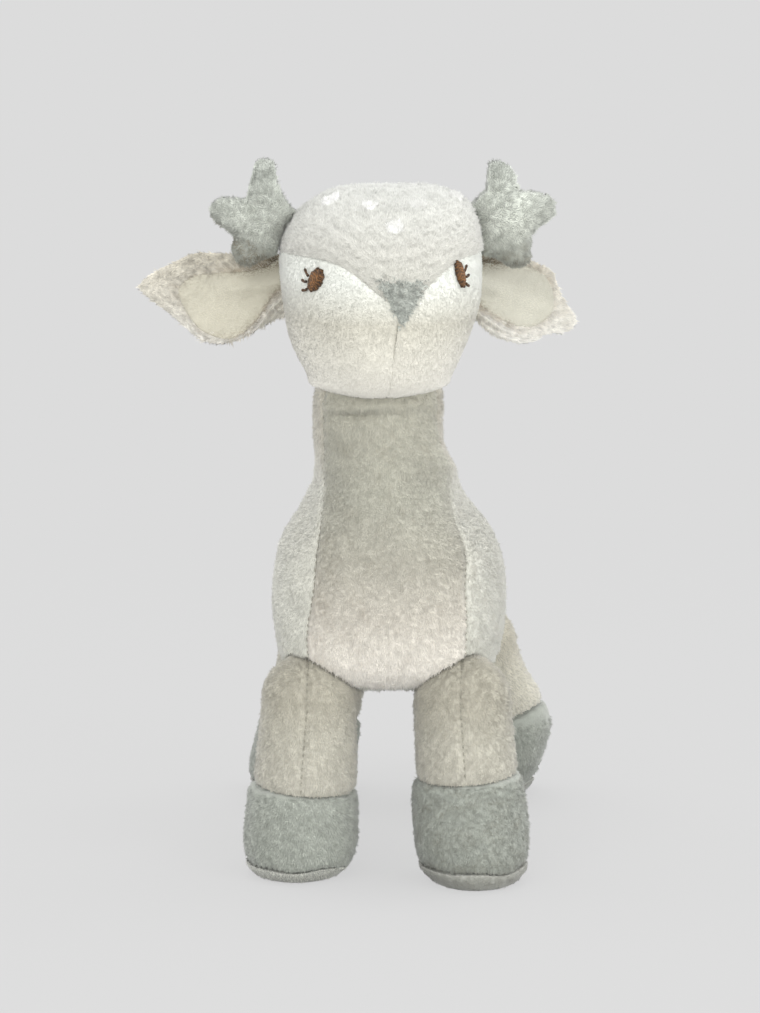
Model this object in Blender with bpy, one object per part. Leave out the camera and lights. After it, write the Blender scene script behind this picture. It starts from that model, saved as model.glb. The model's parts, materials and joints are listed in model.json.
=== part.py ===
"""Plush deer: a stuffed toy fawn standing on four legs, as sewn fabric panels over their filling.

Metres, +Z up. The deer looks along -Y and stands on Z = 0. While it is worked out, the neck's axis
stands on the origin; at the end the whole toy moves so that its box is centred over the origin.

The body and the head are each one form: rings stacked upwards, where a ring is a rounded box in plan
with its own front, back, width and slope. A panel is a share of that form, round it and up it.
"""
import math

import bmesh
import bpy
import numpy as np

# Body and neck
BELLY_HEIGHT = 0.0757
BACK_HEIGHT = 0.160
BODY_HALF_WIDTH = 0.0490
CHEST_REACH = 0.022          # from the neck's axis forward to the chest
RUMP_REACH = 0.143           # from the neck's axis back to the rump
BELLY_MIDDLE = 0.058         # behind the neck's axis
NECK_RADIUS = 0.0264
NECK_LENGTH = 0.0475         # above the back
NECK_LEAN = -0.0022          # sideways, at the top of the neck
NECK_TOP_HEIGHT = BACK_HEIGHT + NECK_LENGTH

# Head
HEAD_HALF_WIDTH = 0.0412
HEAD_HEIGHT = 0.0855
NOSE_REACH = 0.0555          # from the neck's axis forward
HEAD_BACK_REACH = 0.045
HEAD_TOP_PLACE = 0.003       # behind the neck's axis
CROWN_LEAN = 0.0046          # how far the crown's top lies to the right of the neck's axis
HEAD_YAW = math.radians(10.5)
NECK_IN_HEAD = 0.003         # how far the neck's top reaches into the head
HEAD_BOTTOM = NECK_TOP_HEIGHT - NECK_IN_HEAD
HEAD_TOP = HEAD_BOTTOM + HEAD_HEIGHT

# Fabric and seams
WALL = 0.0012
SEAM_GAP = 0.0003
FILL_GAP = 0.0003
NECK_CLEARANCE = 0.0004
POCKET_CLEARANCE = 0.0009
SWING_ROOM = 0.0010          # more room along Y below the hip, for the leg's swing
CUT_OVERRUN = 0.010

# Legs
HIP_DROP = 0.0017            # the hips' centres lie this far below the belly
HIP_RADIUS = 0.0213
LEG_OPENING_RADIUS = 0.0055  # the hole at the top of the leg that it is stuffed through
LEG_WAIST_RADIUS = 0.0204
LEG_HEM_RADIUS = 0.0216
HOOF_RADIUS = 0.0242
HOOF_BOTTOM_RADIUS = 0.0222
SOLE_RADIUS = 0.0216
SOLE_FLAT_RADIUS = 0.0175
FOOT_LENGTH_SHARE = 1.05
SHORT_HOOF_HEIGHT = 0.0375
TALL_HOOF_HEIGHT = 0.0440
THIN_SOLE_HEIGHT = 0.0065
THICK_SOLE_HEIGHT = 0.0085
LEFT_HIP_INSET = 0.0180      # the hips' places, in from the body's sides, chest and rump
RIGHT_HIP_INSET = 0.0160
FRONT_HIP_INSET = 0.0190
REAR_HIP_INSET = 0.0250
LEFT_FOOT_SPLAY = 0.0052     # how far each foot stands out from its hip
RIGHT_FOOT_SPLAY = 0.0060
REAR_FOOT_SPLAY = 0.0155
LEFT_FOOT_STEP = 0.0040      # each foot's step forward of its hip
RIGHT_FOOT_STEP = 0.0130
REAR_FOOT_STEP = -0.0260
HIP_HEIGHT = BELLY_HEIGHT - HIP_DROP
LEFT_HIP_PLACE = BODY_HALF_WIDTH - LEFT_HIP_INSET
RIGHT_HIP_PLACE = BODY_HALF_WIDTH - RIGHT_HIP_INSET
FRONT_HIP_PLACE = FRONT_HIP_INSET - CHEST_REACH
REAR_HIP_PLACE = RUMP_REACH - REAR_HIP_INSET

# Ears
LEFT_EAR_LENGTH = 0.0632
RIGHT_EAR_LENGTH = 0.0605
EAR_HALF_HEIGHT = 0.0180
EAR_THICKNESS = 0.0022
EAR_CUP = 0.0085
LEFT_EAR_LIFT = 0.0108       # how far the tip stands above its root
RIGHT_EAR_LIFT = 0.0052
EAR_BASE_RISE = 0.0375       # above the head's bottom
EAR_BASE_SPAN = 0.022
EAR_TURN = math.radians(114.0)
LINING_THICKNESS = 0.0012
LEFT_EAR_SWING = math.radians(5.0)
RIGHT_EAR_SWING = math.radians(-4.0)

# Antlers
LEFT_ANTLER_STEM = 0.0127    # from the seam on the head to the middle of the star
RIGHT_ANTLER_STEM = 0.0146
ANTLER_HALF_THICKNESS = 0.0062
ANTLER_EDGE = 0.0012
LEFT_ANTLER_RISE = 0.0677    # above the head's bottom
RIGHT_ANTLER_RISE = 0.0673
ANTLER_BASE_SPAN = 0.013
ANTLER_TURN = math.radians(96.0)
ANTLER_MARGIN = 0.0006       # how far the outlines below lie outside the cloth, for the plush's nap
HEAD_SIDE_BEND = 0.038       # radius of the head's side along the antler's seam

# Trim on the head
EYE_HALF_WIDTH = 0.0050
EYE_HALF_HEIGHT = 0.0058
LASH_LENGTH = 0.0026
LASH_WIDTH = 0.14            # radians round the eye
LASH_TURNS = (2.2, 3.0, 3.8)
EYE_THICKNESS = 0.0008
LEFT_EYE_RISE = 0.0503       # above the head's bottom
RIGHT_EYE_RISE = 0.0517
LEFT_EYE_TURN = math.radians(46.5)
RIGHT_EYE_TURN = math.radians(38.8)
NOSE_HALF_WIDTH = 0.0100
NOSE_RISE = 0.0427           # the nose's middle, above the head's bottom
NOSE_POINT_REACH = 0.0105    # from there down to its point
NOSE_TOP_REACH = 0.0080
NOSE_CORNER_POWER = 8
NOSE_THICKNESS = 0.0012
SPOT_RADIUS = 0.0036
SPOT_THICKNESS = 0.0007

# Tail
TAIL_LENGTH = 0.034
TAIL_HALF_WIDTH = 0.0095
TAIL_HALF_THICKNESS = 0.0050
TAIL_ROOT_RADIUS = 0.0035
TAIL_DROP = 0.028            # below the back
TAIL_LIFT = math.radians(33.0)   # from the rump's own slope

# Rings of the body, belly to neck, as shares of the sizes above:
# front and rear of the belly's middle, half width, height in front and behind (0 belly, 1 back),
# where along the ring it is widest, and how square its front and rear are (2 is an ellipse)
BODY_RING_SHARES = (
    (0.000, 0.000, 0.000, 0.000, 0.000, 0.50, 2.0, 2.0),
    (0.610, 0.653, 0.495, 0.006, 0.006, 0.46, 2.2, 2.1),
    (0.818, 0.867, 0.763, 0.043, 0.049, 0.43, 2.6, 2.2),
    (0.935, 0.960, 0.918, 0.130, 0.136, 0.42, 3.0, 2.3),
    (0.987, 1.000, 0.980, 0.272, 0.296, 0.42, 3.0, 2.3),
    (1.000, 1.000, 1.000, 0.457, 0.481, 0.42, 2.8, 2.3),
    (0.994, 0.950, 0.960, 0.679, 0.691, 0.42, 2.5, 2.2),
    (0.994, 0.813, 0.845, 0.877, 0.864, 0.43, 2.3, 2.1),
    (1.006, 0.550, 0.700, 1.062, 0.957, 0.44, 2.15, 2.05),
)
# Rings of the neck: front, rear and half width in neck radii, heights (0 back, 1 neck top), widest
# place, squareness, and the share of the neck's lean
NECK_RING_SHARES = (
    (0.889, 2.520, 1.090, 0.390, 0.020, 0.46, 2.05, 2.0, 0.5),
    (0.944, 1.556, 1.020, 0.610, 0.170, 0.48, 2.0, 2.0, 0.8),
    (0.980, 1.110, 1.000, 0.770, 0.435, 0.50, 2.0, 2.0, 1.0),
    (1.000, 1.000, 1.000, 0.890, 0.717, 0.50, 2.0, 2.0, 1.0),
    (1.000, 1.000, 1.000, 1.000, 1.000, 0.50, 2.0, 2.0, 1.0),
)
# Rings of the head above the neck's circle: front, rear, half width, height, widest place, squareness
# in front and behind, and how far the ring leans to the right in the crown's lean
HEAD_RING_SHARES = (
    (0.559, 0.667, 0.717, 0.018, 0.50, 2.05, 2.0, 0.05),
    (0.685, 0.778, 0.745, 0.070, 0.53, 2.1, 2.0, 0.03),
    (0.829, 0.878, 0.823, 0.170, 0.57, 2.15, 2.0, 0.00),
    (0.946, 0.956, 0.930, 0.304, 0.60, 2.1, 2.0, 0.12),
    (1.000, 1.000, 1.008, 0.456, 0.62, 2.0, 2.0, 0.33),
    (0.964, 1.000, 1.024, 0.608, 0.62, 2.05, 2.0, 0.38),
    (0.838, 0.944, 0.998, 0.749, 0.60, 2.2, 2.1, 0.42),
    (0.649, 0.822, 0.900, 0.860, 0.56, 2.35, 2.2, 0.57),
    (0.432, 0.622, 0.722, 0.942, 0.52, 2.4, 2.2, 0.80),
    (0.198, 0.356, 0.500, 0.991, 0.50, 2.3, 2.2, 0.98),
)
# Spots on the crown: turn round the head in degrees, and height as a share of the crown's front
SPOT_PLACE_SHARES = ((-50.0, 0.58), (-16.0, 0.53), (0.0, 0.43), (17.0, 0.57), (45.0, 0.64))

# Rings of a leg: down the shin and from waist to hem; down the hoof and from hem to full; up the sole
# and from its flat to full
SHIN_RING_SHARES = ((0.22, 0.0), (0.60, 0.5))
HOOF_RING_SHARES = ((0.0, 0.0), (0.10, 0.67), (0.40, 1.0), (0.75, 1.0))
SOLE_RING_SHARES = ((0.55, 1.0), (0.18, 0.5), (0.0, 0.0))
# Rings of an ear's leaf and of its lining, from root to tip, and the lining's width in the leaf's
EAR_BEAD_SHARES = (-1.0, -0.6)
EAR_RING_SHARES = (0.0, 0.07, 0.16, 0.30, 0.45, 0.60, 0.75, 0.88, 0.96, 1.0)
LINING_RING_SHARES = ((0.05, 0.86), (0.14, 0.83), (0.28, 0.79), (0.42, 0.76), (0.56, 0.72), (0.68, 0.69),
                      (0.78, 0.65), (0.84, 0.62))
# The leaf's root in its full height, where along it that is full, and how blunt its tip is
EAR_ROOT_SHARE = 0.60
EAR_FULL_SHARE = 0.36
EAR_TIP_POWER = 1.25
EAR_TIP_ROUNDNESS = 0.85
# Each antler's corners round the middle of its star, level with the floor and up, in millimetres
LEFT_ANTLER_CORNERS = (
    (0.3, 23.3), (-6.7, 23.3), (-7.5, 19.9), (-8.6, 13.1), (-9.9, 9.7), (-13.6, 2.8), (-17.3, 0.2),
    (-12.6, -11.7), (-10.6, -16.5), (-8.3, -17.8), (-1.9, -19.7), (0.3, -22.1), (5.0, -23.1),
    (9.5, -21.2), (11.6, -16.0), (10.1, -11.8), (10.8, -8.8), (14.4, -6.7), (18.9, -3.3), (20.8, -0.4),
    (20.1, 3.5), (16.9, 6.3), (8.6, 6.6), (5.3, 6.1), (4.0, 9.6), (1.3, 19.4))
RIGHT_ANTLER_CORNERS = (
    (19.5, 6.7), (15.1, 8.1), (9.7, 9.5), (2.7, 9.8), (2.4, 12.3), (0.9, 17.5), (-1.9, 21.5),
    (-6.4, 23.4), (-10.3, 22.6), (-10.5, 18.8), (-10.7, 14.4), (-10.5, 10.1), (-13.0, 8.5), (-16.2, 4.3),
    (-21.8, -0.4), (-19.1, -9.3), (-17.0, -16.2), (-9.7, -16.4), (-4.4, -17.4), (-0.4, -21.0),
    (2.7, -22.4), (10.2, -21.4), (9.8, -15.3), (9.9, -9.3), (12.8, -6.9), (15.7, -4.3), (20.4, -1.0))
# Rings of an antler's face out to its edge, and rings of the tail, the first two in its root's radius
ANTLER_RING_SHARES = (0.0, 0.5, 0.82, 1.0)
TAIL_ROOT_SHARES = (-0.98, -0.6)
TAIL_RING_SHARES = (0.0, 0.10, 0.25, 0.42, 0.60, 0.78, 0.92, 0.99)

# Places among the rings where the seams run
BELLY_SEAM = 2.0
WAIST_RING = 10.0            # where the neck's filling takes over from the body's
CHEST_SEAM_TURN = math.radians(37.0)
NECK_SEAM_TURN = math.radians(65.0)
NECK_TWIST = math.radians(12.0)
CHEST_SEAM_RING = 5.3        # up to here the seams run straight up
NECK_SEAM_RINGS = 4.0        # rings over which they reach the neck's turn
CROWN_SEAM_SIDE = 6.55
CROWN_SEAM_FRONT_DIP = 1.35
CROWN_SEAM_BACK_DIP = 3.2
FRONT_DIP_TURN = math.radians(24.0)
BACK_DIP_TURN = math.radians(49.0)

# How finely the forms are cut into faces
AROUND = 28
CHEST_STRIPS = 8
CROWN_RINGS = 5
CHEEK_RINGS = 7
BALL_RINGS = 4
FLANK_STRIPS = 10
LEG_AROUND = 16
POCKET_AROUND = 20
ANTLER_AROUND = 32
EAR_STRIPS = 8
TAIL_AROUND = 12
EYE_AROUND = 30
NOSE_AROUND = 24
SPOT_AROUND = 10

COLOURS = {
    "body": (0.62, 0.60, 0.53), "side": (0.72, 0.70, 0.63), "cream": (0.80, 0.79, 0.72),
    "crown": (0.78, 0.76, 0.72), "grey": (0.37, 0.38, 0.36), "sole": (0.44, 0.44, 0.41),
    "brown": (0.17, 0.075, 0.03), "white": (0.92, 0.92, 0.90), "fibre": (0.88, 0.88, 0.86),
    "rim": (0.50, 0.47, 0.41),
}


def material(name):
    """A matt fabric material of the named colour, made once and shared."""
    found = bpy.data.materials.get(name)
    if found:
        return found
    made = bpy.data.materials.new(name)
    made.use_nodes = True
    shader = made.node_tree.nodes["Principled BSDF"]
    shader.inputs["Base Color"].default_value = (*COLOURS[name], 1.0)
    shader.inputs["Roughness"].default_value = 0.95
    shader.inputs["Metallic"].default_value = 0.0
    return made


def add_empty(name, parent, place, turn=0.0):
    """An empty on a joint's axis, which its pieces hang from."""
    empty = bpy.data.objects.new(name, None)
    bpy.context.scene.collection.objects.link(empty)
    empty.parent = parent
    empty.location = place
    empty.rotation_euler = (0.0, 0.0, turn)
    return empty


def add_piece(name, corners, faces, colour, parent):
    """An object from corner points and faces, with its faces pointing out."""
    mesh = bpy.data.meshes.new(name)
    mesh.from_pydata([tuple(point) for point in corners], [], faces)
    shape = bmesh.new()
    shape.from_mesh(mesh)
    bmesh.ops.recalc_face_normals(shape, faces=shape.faces)
    bmesh.ops.triangulate(shape, faces=shape.faces)
    shape.to_mesh(mesh)
    shape.free()
    mesh.shade_smooth()
    mesh.materials.append(material(colour))
    piece = bpy.data.objects.new(name, mesh)
    bpy.context.scene.collection.objects.link(piece)
    piece.parent = parent
    return piece


def strip_faces(rows, columns, wrap, start=0):
    """Quads between neighbouring rows and columns of a grid; wrap joins the last column to the first."""
    faces = []
    for i in range(rows - 1):
        for j in range(columns if wrap else columns - 1):
            k = (j + 1) % columns
            here = start + i * columns
            faces.append((here + j, here + k, here + columns + k, here + columns + j))
    return faces


def slab(front, back, wrap=False):
    """A closed wall between two grids of the same size: both faces, and a rim along each open edge."""
    rows, columns = front.shape[:2]
    count = rows * columns
    corners = np.concatenate([front.reshape(-1, 3), back.reshape(-1, 3)])
    faces = strip_faces(rows, columns, wrap)
    faces += [tuple(count + corner for corner in face[::-1]) for face in faces]
    edges = [[j for j in range(columns)], [(rows - 1) * columns + j for j in range(columns)]]
    closed = [wrap, wrap]
    if not wrap:
        edges += [[i * columns for i in range(rows)], [i * columns + columns - 1 for i in range(rows)]]
        closed += [False, False]
    for edge, ring in zip(edges, closed):
        pairs = list(zip(edge, edge[1:] + edge[:1])) if ring else list(zip(edge, edge[1:]))
        faces += [(a, b, count + b, count + a) for a, b in pairs]
    return corners, faces


def dome(front, back):
    """A closed wall like slab's, round a pole: each grid's first row shrinks to one point."""
    rows, columns = front.shape[:2]
    count = 1 + (rows - 1) * columns
    corners = np.concatenate([front[0, :1], front[1:].reshape(-1, 3), back[0, :1], back[1:].reshape(-1, 3)])
    faces = []
    for start in (0, count):
        faces += [(start, start + 1 + j, start + 1 + (j + 1) % columns) for j in range(columns)]
        faces += strip_faces(rows - 1, columns, True, start + 1)
    rim = count - columns
    for j in range(columns):
        k = (j + 1) % columns
        faces.append((rim + j, rim + k, count + rim + k, count + rim + j))
    return corners, faces


def loft(grid):
    """A closed body through the grid's rings, with a point at each end ring's middle."""
    rows, columns = grid.shape[:2]
    ends = np.array([grid[0].mean(axis=0), grid[-1].mean(axis=0)])
    corners = np.concatenate([grid.reshape(-1, 3), ends])
    faces = strip_faces(rows, columns, True)
    low, high = rows * columns, rows * columns + 1
    last = (rows - 1) * columns
    for j in range(columns):
        k = (j + 1) % columns
        faces.append((low, k, j))
        faces.append((high, last + j, last + k))
    return corners, faces


def rows_at(table, along):
    """The table's rows read at fractional places, on a Catmull-Rom curve through them."""
    table = np.asarray(table, dtype=float)
    along = np.clip(np.asarray(along, dtype=float), 0.0, len(table) - 1.0)
    first = np.minimum(along.astype(int), len(table) - 2)
    part = (along - first)[..., None]
    before = table[np.maximum(first - 1, 0)]
    here = table[first]
    after = table[first + 1]
    beyond = table[np.minimum(first + 2, len(table) - 1)]
    return 0.5 * (2 * here + (after - before) * part
                  + (2 * before - 5 * here + 4 * after - beyond) * part ** 2
                  + (3 * here - before - 3 * after + beyond) * part ** 3)


def form_point(table, around, along):
    """Points of a form of stacked rings: around is the turn from the front towards +X, along the ring."""
    around, along = np.broadcast_arrays(np.asarray(around, float), np.asarray(along, float))
    front, rear, half, low, high, widest, square_front, square_rear, lean = np.moveaxis(
        rows_at(table, along), -1, 0)
    cos, sin = np.cos(around), np.sin(around)
    power = square_front * (1 + cos) / 2 + square_rear * (1 - cos) / 2
    reach = (np.abs(cos) ** power + np.abs(sin) ** power) ** (-1 / power)
    middle = front + widest * (rear - front)
    y = middle - np.where(cos > 0, middle - front, rear - middle) * reach * cos
    x = lean + half * reach * sin
    length = np.maximum(rear - front, SEAM_GAP)
    z = low + (high - low) * (y - front) / length
    return np.stack([x, y, z], axis=-1)


def form_normal(table, around, along):
    """Outward normals of the form, from the slopes round it and up it; straight up or down at a pole."""
    step = 0.02
    last = len(table) - 1
    turn = form_point(table, around + step, along) - form_point(table, around - step, along)
    climb = (form_point(table, around, np.minimum(along + step, last))
             - form_point(table, around, np.maximum(along - step, 0)))
    normal = np.cross(turn, climb)
    size = np.linalg.norm(normal, axis=-1, keepdims=True)
    pole = np.zeros_like(normal)
    pole[..., 2] = np.where(np.broadcast_to(along, normal.shape[:-1]) > last / 2, 1.0, -1.0)
    at_pole = np.linalg.norm(turn, axis=-1, keepdims=True) < SEAM_GAP
    return np.where(at_pole, pole, normal / np.maximum(size, 1e-12))


def pull_back(front, back, first_row=False, last_row=False, sides=False):
    """Draw a panel's named edges back by half the seam's gap, towards the next row or column."""
    half = SEAM_GAP / 2
    for grid in (front, back):
        if first_row:
            way = grid[1] - grid[0]
            grid[0] += half * way / np.linalg.norm(way, axis=-1, keepdims=True)
        if last_row:
            way = grid[-2] - grid[-1]
            grid[-1] += half * way / np.linalg.norm(way, axis=-1, keepdims=True)
        if sides:
            for edge, inner in ((0, 1), (-1, -2)):
                way = grid[:, inner] - grid[:, edge]
                grid[:, edge] += half * way / np.linalg.norm(way, axis=-1, keepdims=True)


def skin(table, around, along):
    """A panel's outer face on the form, and its inner face one wall below."""
    outer = form_point(table, around, along)
    return outer, outer - WALL * form_normal(table, around, along)


def body_table():
    """The body's and the neck's rings in metres, one above the other."""
    ahead = BELLY_MIDDLE + CHEST_REACH
    behind = RUMP_REACH - BELLY_MIDDLE
    height = BACK_HEIGHT - BELLY_HEIGHT
    climb = NECK_TOP_HEIGHT - BACK_HEIGHT
    rows = [(BELLY_MIDDLE - front * ahead, BELLY_MIDDLE + rear * behind, half * BODY_HALF_WIDTH,
             BELLY_HEIGHT + low * height, BELLY_HEIGHT + high * height, widest, square, round_, 0.0)
            for front, rear, half, low, high, widest, square, round_ in BODY_RING_SHARES]
    rows += [(-front * NECK_RADIUS, rear * NECK_RADIUS, half * NECK_RADIUS,
              BACK_HEIGHT + low * climb, BACK_HEIGHT + high * climb, widest, square, round_,
              lean * NECK_LEAN)
             for front, rear, half, low, high, widest, square, round_, lean in NECK_RING_SHARES]
    return rows


def head_table():
    """The head's rings in metres, from the circle that takes the neck to the top of the crown."""
    mouth = NECK_RADIUS + NECK_CLEARANCE
    tall = HEAD_TOP - HEAD_BOTTOM
    rows = [(-mouth, mouth, mouth, HEAD_BOTTOM, HEAD_BOTTOM, 0.5, 2.0, 2.0, 0.0)]
    rows += [(-front * NOSE_REACH, rear * HEAD_BACK_REACH, half * HEAD_HALF_WIDTH,
              HEAD_BOTTOM + up * tall, HEAD_BOTTOM + up * tall, widest, square, round_, lean * CROWN_LEAN)
             for front, rear, half, up, widest, square, round_, lean in HEAD_RING_SHARES]
    rows.append((HEAD_TOP_PLACE, HEAD_TOP_PLACE, 0.0, HEAD_TOP, HEAD_TOP, 0.5, 2.0, 2.0, CROWN_LEAN))
    return rows


def ease(value):
    """0 to 1 with a level start and end."""
    value = np.clip(value, 0.0, 1.0)
    return value * value * (3.0 - 2.0 * value)


def chest_seam(along):
    """The turn of the chest panel's seams at each ring: narrow on the chest, wide round the neck."""
    widening = ease((along - CHEST_SEAM_RING) / NECK_SEAM_RINGS)
    return CHEST_SEAM_TURN + (NECK_SEAM_TURN - CHEST_SEAM_TURN) * widening


def crown_seam(around):
    """The ring where the crown meets the cheeks: level at the sides, dipping to the nose and behind."""
    turn = np.abs(np.arctan2(np.sin(around), np.cos(around)))
    front = np.exp(-(turn / FRONT_DIP_TURN) ** 2)
    rear = np.exp(-((math.pi - turn) / BACK_DIP_TURN) ** 2)
    return CROWN_SEAM_SIDE - CROWN_SEAM_FRONT_DIP * front - CROWN_SEAM_BACK_DIP * rear


def body_turns(along):
    """Turns round the body at each ring: the right flank, the left flank, then the chest."""
    seam = chest_seam(np.maximum(along, BELLY_SEAM))
    twist = NECK_TWIST * ease((along - CHEST_SEAM_RING) / NECK_SEAM_RINGS)
    flank = np.linspace(0.0, 2.0, 2 * FLANK_STRIPS + 1)[None, :]
    chest = np.linspace(-1.0, 1.0, CHEST_STRIPS + 1)[None, 1:-1]
    turns = np.concatenate([seam + (math.pi - seam) * flank, 2 * math.pi + seam * chest], axis=1)
    return turns + twist * (1 + np.cos(turns)) / 2


def filling_rings(table, around, along):
    """The filling's rings, one wall and the filling's gap below the form."""
    return form_point(table, around, along) - (WALL + FILL_GAP) * form_normal(table, around, along)


def full_turn(count):
    """Evenly spaced turns round a form, the first at the front."""
    return np.arange(count) * 2 * math.pi / count


def leg_specs():
    """Each leg's name, hip, foot, hoof height and sole height, in the toy's frame."""
    specs = []
    for side, sign, hip, splay, step, hoof, sole in (
            ("left", -1, LEFT_HIP_PLACE, LEFT_FOOT_SPLAY, LEFT_FOOT_STEP,
             SHORT_HOOF_HEIGHT, THIN_SOLE_HEIGHT),
            ("right", 1, RIGHT_HIP_PLACE, RIGHT_FOOT_SPLAY, RIGHT_FOOT_STEP,
             TALL_HOOF_HEIGHT, THICK_SOLE_HEIGHT)):
        specs.append((f"front_{side}", (sign * hip, FRONT_HIP_PLACE, HIP_HEIGHT),
                      (sign * (hip + splay), FRONT_HIP_PLACE - step), hoof, sole))
        specs.append((f"rear_{side}", (sign * RIGHT_HIP_PLACE, REAR_HIP_PLACE, HIP_HEIGHT),
                      (sign * (RIGHT_HIP_PLACE + REAR_FOOT_SPLAY), REAR_HIP_PLACE - REAR_FOOT_STEP),
                      SHORT_HOOF_HEIGHT, THIN_SOLE_HEIGHT))
    return specs


def turned_rings(around, rings, centre_line):
    """Rings of (height, radius) pairs about a leaning centre line, longer along Y below the hip."""
    grid = []
    for height, radius in rings:
        x, y, length_share = centre_line(height)
        grid.append(np.stack([x + radius * np.sin(around), y - radius * length_share * np.cos(around),
                              np.full_like(around, height)], axis=-1))
    return np.array(grid)


def ball_rings(radius, opening, steps):
    """Heights and radii from a ball's opening near its top down to its middle."""
    start = math.asin(opening / radius)
    return [(radius * math.cos(angle), radius * math.sin(angle))
            for angle in np.linspace(start, math.pi / 2, steps)]


def leg_line(hip, foot):
    """The leg's centre line below its hip, in the hip's frame, and how oval the leg is there."""
    def centre(height):
        drop = max(-height, 0.0) / hip[2]
        return (foot[0] - hip[0]) * drop, (foot[1] - hip[1]) * drop, 1 + (FOOT_LENGTH_SHARE - 1) * drop
    return centre


def between(low, high, share):
    """The value that lies a share of the way from one to the other."""
    return low + share * (high - low)


def add_leg(name, hip, foot, hoof_height, sole_height, joint):
    """One leg on its hip joint: two skin halves, the hoof, the padded sole and the filling."""
    line = leg_line(hip, foot)
    floor = -hip[2]
    seam = floor + hoof_height
    sole_seam = floor + sole_height
    skin_rings = ball_rings(HIP_RADIUS, LEG_OPENING_RADIUS, BALL_RINGS)
    skin_rings += [(down * seam, between(LEG_WAIST_RADIUS, LEG_HEM_RADIUS, swell))
                   for down, swell in SHIN_RING_SHARES]
    skin_rings.append((seam + SEAM_GAP, LEG_HEM_RADIUS))
    thinner = [(height - WALL * max(height, 0.0) / HIP_RADIUS, radius - WALL * min(1.0, radius / HIP_RADIUS))
               for height, radius in skin_rings]
    for half, begin in (("outer", 0.0), ("inner", math.pi)):
        turn = begin if hip[0] > 0 else -begin - math.pi
        around = turn + np.linspace(0.0, math.pi, LEG_AROUND // 2 + 1)
        front = turned_rings(around, skin_rings, line)
        back = turned_rings(around, thinner, line)
        pull_back(front, back, sides=True)
        add_piece(f"leg_{name}_{half}", *slab(front, back), "side", joint)
    hoof_rings = [(between(seam, sole_seam, down), between(LEG_HEM_RADIUS, HOOF_RADIUS, swell))
                  for down, swell in HOOF_RING_SHARES]
    hoof_rings.append((sole_seam, HOOF_BOTTOM_RADIUS))
    wall = [(height, radius - WALL) for height, radius in hoof_rings]
    around = full_turn(LEG_AROUND)
    front = turned_rings(around, hoof_rings, line)
    back = turned_rings(around, wall, line)
    add_piece(f"hoof_{name}", *slab(front, back, wrap=True), "grey", joint)
    sole_rings = [(sole_seam - SEAM_GAP, HOOF_BOTTOM_RADIUS)]
    sole_rings += [(floor + up * sole_height, between(SOLE_FLAT_RADIUS, SOLE_RADIUS, swell))
                   for up, swell in SOLE_RING_SHARES]
    add_piece(f"sole_{name}", *loft(turned_rings(around, sole_rings, line)), "sole", joint)
    inset = WALL + FILL_GAP
    filling = ball_rings(HIP_RADIUS - inset, LEG_OPENING_RADIUS, BALL_RINGS)
    filling += [(height, radius - inset) for height, radius in skin_rings[BALL_RINGS:] + hoof_rings[1:-1]]
    filling.append((sole_seam + FILL_GAP, HOOF_BOTTOM_RADIUS - inset))
    add_piece(f"leg_{name}_filling", *loft(turned_rings(around, filling, line)), "fibre", joint)


def add_pocket(name, hip, root):
    """A cutter that leaves a leg its socket in the body: a dome over the hip, an oval shaft below."""
    radius = HIP_RADIUS + POCKET_CLEARANCE
    around = full_turn(POCKET_AROUND)
    rings = ball_rings(radius, LEG_OPENING_RADIUS / 2, BALL_RINGS + 1)
    rings += [(-SWING_ROOM, radius), (-CUT_OVERRUN - (hip[2] - BELLY_HEIGHT), radius)]

    def oval(height):
        return 0.0, 0.0, 1.0 if height >= 0.0 else 1.0 + SWING_ROOM / radius
    pocket = add_piece(name, *loft(turned_rings(around, rings, oval)), "fibre", root)
    pocket.location = hip
    pocket.hide_render = True
    pocket.display_type = "WIRE"
    return pocket


def cut(piece, cutters):
    """Cut each cutter out of the piece."""
    for cutter in cutters:
        modifier = piece.modifiers.new("Cut", "BOOLEAN")
        modifier.operation = "DIFFERENCE"
        modifier.object = cutter
        modifier.solver = "EXACT"


def add_body(root, pockets):
    """The chest, two sides and belly panels over the body's and the neck's filling."""
    table = body_table()
    top = len(table) - 1.0
    along = np.arange(BELLY_SEAM, top + 1.0)[:, None]
    panels = []
    turns = body_turns(along)
    for name, columns, colour in (("chest_panel", range(-CHEST_STRIPS, 1), "body"),
                                  ("side_right", range(0, FLANK_STRIPS + 1), "side"),
                                  ("side_left", range(FLANK_STRIPS, 2 * FLANK_STRIPS + 1), "side")):
        front, back = skin(table, turns[:, list(columns)], along)
        pull_back(front, back, first_row=True, sides=True)
        panels.append(add_piece(name, *slab(front, back), colour, root))
    along = np.arange(0.0, BELLY_SEAM + 1.0)[:, None]
    front, back = skin(table, body_turns(along), along)
    pull_back(front, back, last_row=True)
    panels.append(add_piece("belly_panel", *dome(front, back), "side", root))
    for name, first, last in (("torso_filling", 1.0, WAIST_RING), ("neck_filling", WAIST_RING, top)):
        along = np.arange(first, last + 1.0)[:, None]
        grid = filling_rings(table, body_turns(along), along)
        if name == "neck_filling":
            grid[0, :, 2] += FILL_GAP
        panels.append(add_piece(name, *loft(grid), "fibre", root))
    for panel in panels[:-1]:
        cut(panel, pockets)


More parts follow.
